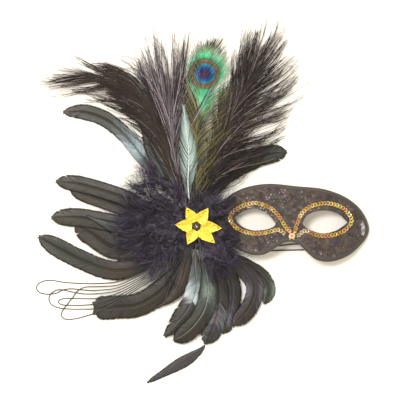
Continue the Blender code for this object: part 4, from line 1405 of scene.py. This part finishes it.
# distance out from the middle of the eye (1 is its outer ring) and the colour there
eyeRings = (
    (0.0, (0.040, 0.012, 0.046)), (0.22, (0.028, 0.010, 0.052)), (0.30, (0.006, 0.035, 0.19)),
    (0.42, (0.010, 0.110, 0.270)), (0.52, (0.025, 0.240, 0.270)), (0.57, (0.075, 0.050, 0.024)),
    (0.70, (0.230, 0.100, 0.040)), (0.77, (0.030, 0.120, 0.045)), (0.90, (0.060, 0.420, 0.220)),
    (1.04, (0.130, 0.520, 0.290)), (1.22, (0.180, 0.360, 0.190)), (1.6, (0.055, 0.060, 0.026)),
    (9.0, (0.010, 0.009, 0.005)),
)


def peacockColour(spot):
    place, size = peacock["eye"], peacock["eyeSize"]
    across, rise = (spot.x - place[0]) / size[0], (spot.y - place[1]) / size[1]
    out = math.hypot(across, rise)
    if rise < 0:
        # the lower half runs down to a point
        pointed = max(abs(across) * 1.05 + abs(rise) * 0.58, 0.86)
        out += (pointed - out) * ease(0.78, 0.92, out)
    for (a, inner), (b, outer) in zip(eyeRings, eyeRings[1:]):
        if out <= b:
            return Vector(inner).lerp(Vector(outer), ease(a, b, out))
    return Vector(eyeRings[-1][1])


def layPeacock():
    rng = random.Random(77)
    spine = Spine(peacock["route"], peacock["offset"], peacock["depth"])
    strands, barbules = [], []
    steps = peacock["steps"]
    for side in ("left", "right"):
        for i in range(peacock["count"]):
            share = (i + rng.random()) / peacock["count"]
            root = 0.04 + 0.92 * share ** 0.92
            near = ease(0.50, 0.70, share)  # 0 along the stem, 1 round the eye
            if rng.random() > 1 - peacock["sparse"] + peacock["sparse"] * near:
                continue
            tip = alongLine(peacock[side], share)
            loose = peacock["loose"] - 0.8 * near
            tip += Vector((rng.gauss(0, loose), rng.gauss(0, loose), 0))
            tip = spine.at(root)[0].lerp(tip, 1.03 - 0.30 * rng.random() ** 2)
            loft = rng.uniform(0.0, peacock["loft"])

            def level(spot, t, loft=loft):
                return pileHeight(spot.length, peacock["offset"]) + peacock["clear"] + loft * t

            bow, phase = rng.uniform(0.0, 0.4), rng.uniform(0, 6.28)
            points = sweptBarb(spine, root, tip, steps, bow, peacock["wave"], phase, level)
            glint = rng.uniform(0.65, 1.35)
            tints = [peacockColour(p) * glint for p in points]
            # a share of the herl is drawn toward gold: partly the herl's own bronze, partly painted glint
            if near < 0.9 and rng.random() < peacock["goldShare"]:
                tints = [tint.lerp(Vector(peacock["gold"]), 0.75) for tint in tints]
            widths = [peacock["barb"] * (1 - 0.6 * (k / steps) ** 2) for k in range(steps + 1)]
            strands.append((points, widths, tints))
            if near < 0.4:
                fuzz(barbules, points, tints[steps // 2], peacock["fuzzPitch"], peacock["fuzz"], rng, 0.10)
    strands.append(quillStrand(spine, 0.6, 0.2, peacock["quill"], 0.60, 0.5))
    made = plumePiece("peacock_herl", strands, barbules, 4)
    handOver(made, "peacock_barb", finishes["peacock"], "peacock_feather")


hackle = {
    "offset": 12.2, "depth": 1.35, "halfWidth": 9.5, "quill": (0.75, 0.78, 0.76),
    "route": ((-6, 14), (-9, 45), (-8, 75), (-11, 104), (-14, 131)),
    "look": dict(vaneLook, slant=21.0, pitch=1.5, bare=0.10, barb=0.60, splits=6, ragged=0.09, band=0.42),
    "stops": ((0, "slate", "teal"), (0.25, "teal", "steel"), (0.45, "ice", "mint"), (0.75, "ice", "mint"),
              (1, "mint", "paleBlue")),
}


def layHackle():
    rng = random.Random(91)
    spine = Spine(hackle["route"], hackle["offset"], hackle["depth"])
    strands = vaneStrands(spine, hackle["halfWidth"], "point", hackle["stops"], rng, hackle["look"])
    strands.append(quillStrand(spine, 0.8, 0.22, hackle["quill"], 0.985))
    made = strandPiece("silver_hackle_vane", strands, 4, True)
    handOver(made, "silver_barb", finishes["silver"], "silver_hackle")


layPeacock()
layHackle()
print("peacock and silver feathers laid")


marabou = {
    "offset": 14.2, "start": 7.5, "locks": 74, "perLock": 17, "length": (14.0, 34.0), "spread": 30.0,
    "thick": 0.26, "loft": 6.5, "rootSpread": 1.1, "clear": 0.6, "curl": 0.55, "wave": 1.6,
    "colours": ((0.008, 0.006, 0.011), (0.074, 0.057, 0.093), (0.22, 0.20, 0.28)), "paleShare": 0.16,
    # azimuth, reach, half width
    "tufts": (
        (145.0, 94.0, 18.0), (179.0, 97.0, 15.0), (214.0, 86.0, 15.0), (306.0, 70.0, 11.0),
        (325.0, 57.0, 11.0), (52.0, 50.0, 11.0), (84.0, 46.0, 11.0),
    ),
}


def layDown():
    steps, spread = 6, marabou["rootSpread"]
    dark, light, pale = (Vector(colour) for colour in marabou["colours"])
    widths = [marabou["thick"] * (1 - 0.75 * k / steps) for k in range(steps + 1)]
    for number, (azimuth, reach, halfWidth) in enumerate(marabou["tufts"]):
        rng = random.Random(500 + number)
        out = Vector((math.cos(math.radians(azimuth)), math.sin(math.radians(azimuth)), 0))
        side = Vector((-out.y, out.x, 0))
        strands = []
        for i in range(int(marabou["locks"] * reach / 90)):
            # a lock of barbs that lie together, all in one shade drawn at random between dark and light, a
            # share of them paler
            radius = marabou["start"] + (reach - marabou["start"] - 20) * rng.random() ** 0.8
            wide = halfWidth * (0.5 + 0.7 * ease(5, 45, radius))
            foot = out * radius + side * rng.gauss(0, wide * 0.6)
            reachOut = rng.uniform(*marabou["length"]) * (0.6 + 0.4 * ease(5, 40, radius))
            aim = math.atan2(foot.y, foot.x) + math.radians(rng.gauss(0, marabou["spread"]))
            curl = rng.gauss(0, marabou["curl"])
            rise = rng.uniform(0.1, 1.0) * marabou["loft"] * layerScale(radius) * ease(8, 45, radius)
            shade = dark.lerp(light, rng.random())
            for _ in range(marabou["perLock"]):
                start = foot + Vector((rng.gauss(0, spread), rng.gauss(0, spread), 0))
                start.z = pileHeight(start.length, marabou["offset"]) + rng.uniform(0, 1.0)
                lift = rise * rng.uniform(0.7, 1.1)

                def level(spot, t, rise=lift):
                    ground = pileHeight(spot.length, marabou["offset"]) + marabou["clear"]
                    return ground + rise * math.sin(2.4 * t)

                turn = aim + rng.gauss(0, 0.16)
                length = reachOut * rng.uniform(0.55, 1.05)
                bend = curl + rng.gauss(0, 0.25)
                points = barbPath(start, turn, length, steps, bend, marabou["wave"], rng, level)
                tint = shade * rng.uniform(0.7, 1.3)
                if rng.random() < marabou["paleShare"]:
                    tint = tint.lerp(pale, rng.random())
                strands.append((points, widths, [tint] * (steps + 1)))
        made = strandPiece(f"marabou_down_{number + 1}", strands, 3)
        handOver(made, "marabou_down", finishes["down"], f"marabou_{number + 1}")


layDown()
print("down laid")


flower = {
    "petals": ((-4.7, 27.5), (56.7, 23.1), (118.0, 22.9), (175.9, 22.8), (244.0, 21.6), (317.6, 27.0)),
    "width": 13.2, "root": 4.6, "bottom": 26.0, "rise": 1.2, "thick": 0.55, "hole": 0.75, "holeIn": 4.2,
    "cup": 0.9, "crease": 0.55, "ripple": 0.10, "rootFlank": 0.62, "holeSides": 16,
    "flank": ((0.28, 0.90), (0.47, 1.0), (0.74, 0.60)),  # share of the reach, share of the half width
    "bendRows": (-5, 6, 1.2),
}
# a shallow seat pressed in at the bead's top and a rolled rim round it: depth or height, radius, width
bead = {"seat": 0.5, "seatRadius": 0.9, "rim": 0.16, "rimRadius": 1.5, "rimWidth": 0.35}
# thread wound round and round a short arc, over the ends of the loops
whipping = {
    "turns": 17, "steps": 12, "from": 218, "sweep": 60, "radius": 11.65, "halfDepth": 1.95,
    "halfHeight": 0.62, "thread": 0.42, "tint": (0.02, 0.02, 0.02),
}
felt = {"groove": 0.30, "rough": 0.22, "layers": {"felt_backing": 3, "flower_plug": 9}}


def cutPetal(number, azimuth, reach):
    half, hole = flower["width"] / 2, flower["hole"]
    flank = [(flower["root"], -flower["rootFlank"] * half, 0)]
    flank += [(along * reach, -across * half, 0) for along, across in flower["flank"]]
    edge = smoothLine([*flank, (reach, 0, 0)], 8)
    edge += [Vector((p.x, -p.y, 0)) for p in reversed(edge[:-1])]
    punched = []
    for i in range(flower["holeSides"]):
        turn = i * 2 * math.pi / flower["holeSides"]
        punched.append(Vector((reach - flower["holeIn"] + hole * math.cos(turn), hole * math.sin(turn), 0)))
    made = cutFlat(f"gold_petal_{number}", [edge, punched], (1, int(reach), 1.0), flower["bendRows"])
    low = flower["bottom"] + flower["rise"] * ((number - 1) % 2)
    for vert in made.data.vertices:
        x, y = vert.co.x / mm, vert.co.y / mm
        across = abs(y) / half
        lift = flower["crease"] * across + flower["cup"] * ease(0.45, 1.0, x / reach) * 0.5
        lift += flower["ripple"] * math.sin(x * 1.3 + number) * across
        vert.co.z = (low + lift) * mm
    if sum(face.normal.z for face in made.data.polygons) < 0:
        made.data.flip_normals()
    applyModifier(made, "SOLIDIFY", thickness=flower["thick"] * mm, offset=1.0)
    made.rotation_euler = (0, 0, math.radians(azimuth))
    settle(made)
    smoothShade(made, 45)
    handOver(made, "gold_petal", finishes["petal"], f"petal_{number}")


def makeBead():
    low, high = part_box("centre_bead")
    middle = (low + high) / 2
    bpy.ops.mesh.primitive_uv_sphere_add(segments=36, ring_count=20, radius=1.0, location=(0, 0, 0))
    made = bpy.context.object
    made.name = "bead"
    made.scale = ((high.x - low.x) / 2, (high.y - low.y) / 2, (high.z - low.z) / 2)
    made.location = middle
    settle(made)
    for vert in made.data.vertices:
        radius = math.hypot(vert.co.x - middle.x, vert.co.y - middle.y) / mm
        if vert.co.z > middle.z:
            vert.co.z -= bead["seat"] * mm * math.exp(-((radius / bead["seatRadius"]) ** 2))
            out = (radius - bead["rimRadius"]) / bead["rimWidth"]
            vert.co.z += bead["rim"] * mm * math.exp(-(out ** 2))
    smoothShade(made, 60)
    handOver(made, "dark_bead", finishes["bead"], "centre_bead")


def makeFelts():
    # rounds of felt glued in layers, with a groove at each joint
    rng = random.Random(3)
    for node, name in (("felt_backing", "felt_round"), ("flower_plug", "felt_plug")):
        low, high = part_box(node)
        radius, height, layers = (high.x - low.x) / 2, high.z - low.z, felt["layers"][node]
        middle = (low + high) / 2
        bpy.ops.mesh.primitive_cylinder_add(vertices=72, radius=radius, depth=height, location=middle)
        made = bpy.context.object
        made.name = name
        settle(made)
        bpy.ops.object.mode_set(mode="EDIT")
        for i in range(1, layers):
            bpy.ops.mesh.select_all(action="SELECT")
            place = (0, 0, low.z + height * i / layers)
            bpy.ops.mesh.bisect(plane_co=place, plane_no=(0, 0, 1), threshold=1e-7)
        bpy.ops.object.mode_set(mode="OBJECT")
        for vert in made.data.vertices:
            level = (vert.co.z - low.z) / height * layers
            groove = 0.5 + 0.5 * math.cos(2 * math.pi * level)
            out = Vector((vert.co.x, vert.co.y, 0))
            vert.co -= out.normalized() * (felt["groove"] * groove + rng.uniform(0, felt["rough"])) * mm
        smoothShade(made, 50)
        handOver(made, "black_felt", finishes["felt"], node)


def windWhipping():
    low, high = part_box("cord_wrap")
    middle = (low.z / mm + high.z / mm) / 2
    points = []
    count = whipping["turns"] * whipping["steps"]
    for i in range(count + 1):
        spin = 2 * math.pi * i / whipping["steps"]
        azimuth = math.radians(whipping["from"] + whipping["sweep"] * i / count)
        out = Vector((math.cos(azimuth), math.sin(azimuth), 0))
        spot = out * (whipping["radius"] + whipping["halfDepth"] * math.cos(spin))
        spot.z = middle + whipping["halfHeight"] * math.sin(spin)
        points.append(spot)
    strand = (points, [whipping["thread"]] * len(points), [whipping["tint"]] * len(points))
    made = strandPiece("loop_whipping", [strand], 6)
    handOver(made, "black_felt", finishes["cord"], "cord_wrap")


for number, (azimuth, reach) in enumerate(flower["petals"], 1):
    cutPetal(number, azimuth, reach)
makeBead()
makeFelts()
windWhipping()
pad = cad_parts["quill_pad"]
pad.data.materials.clear()
pad.data.materials.append(finishes["card"])
print("flower and mount made")
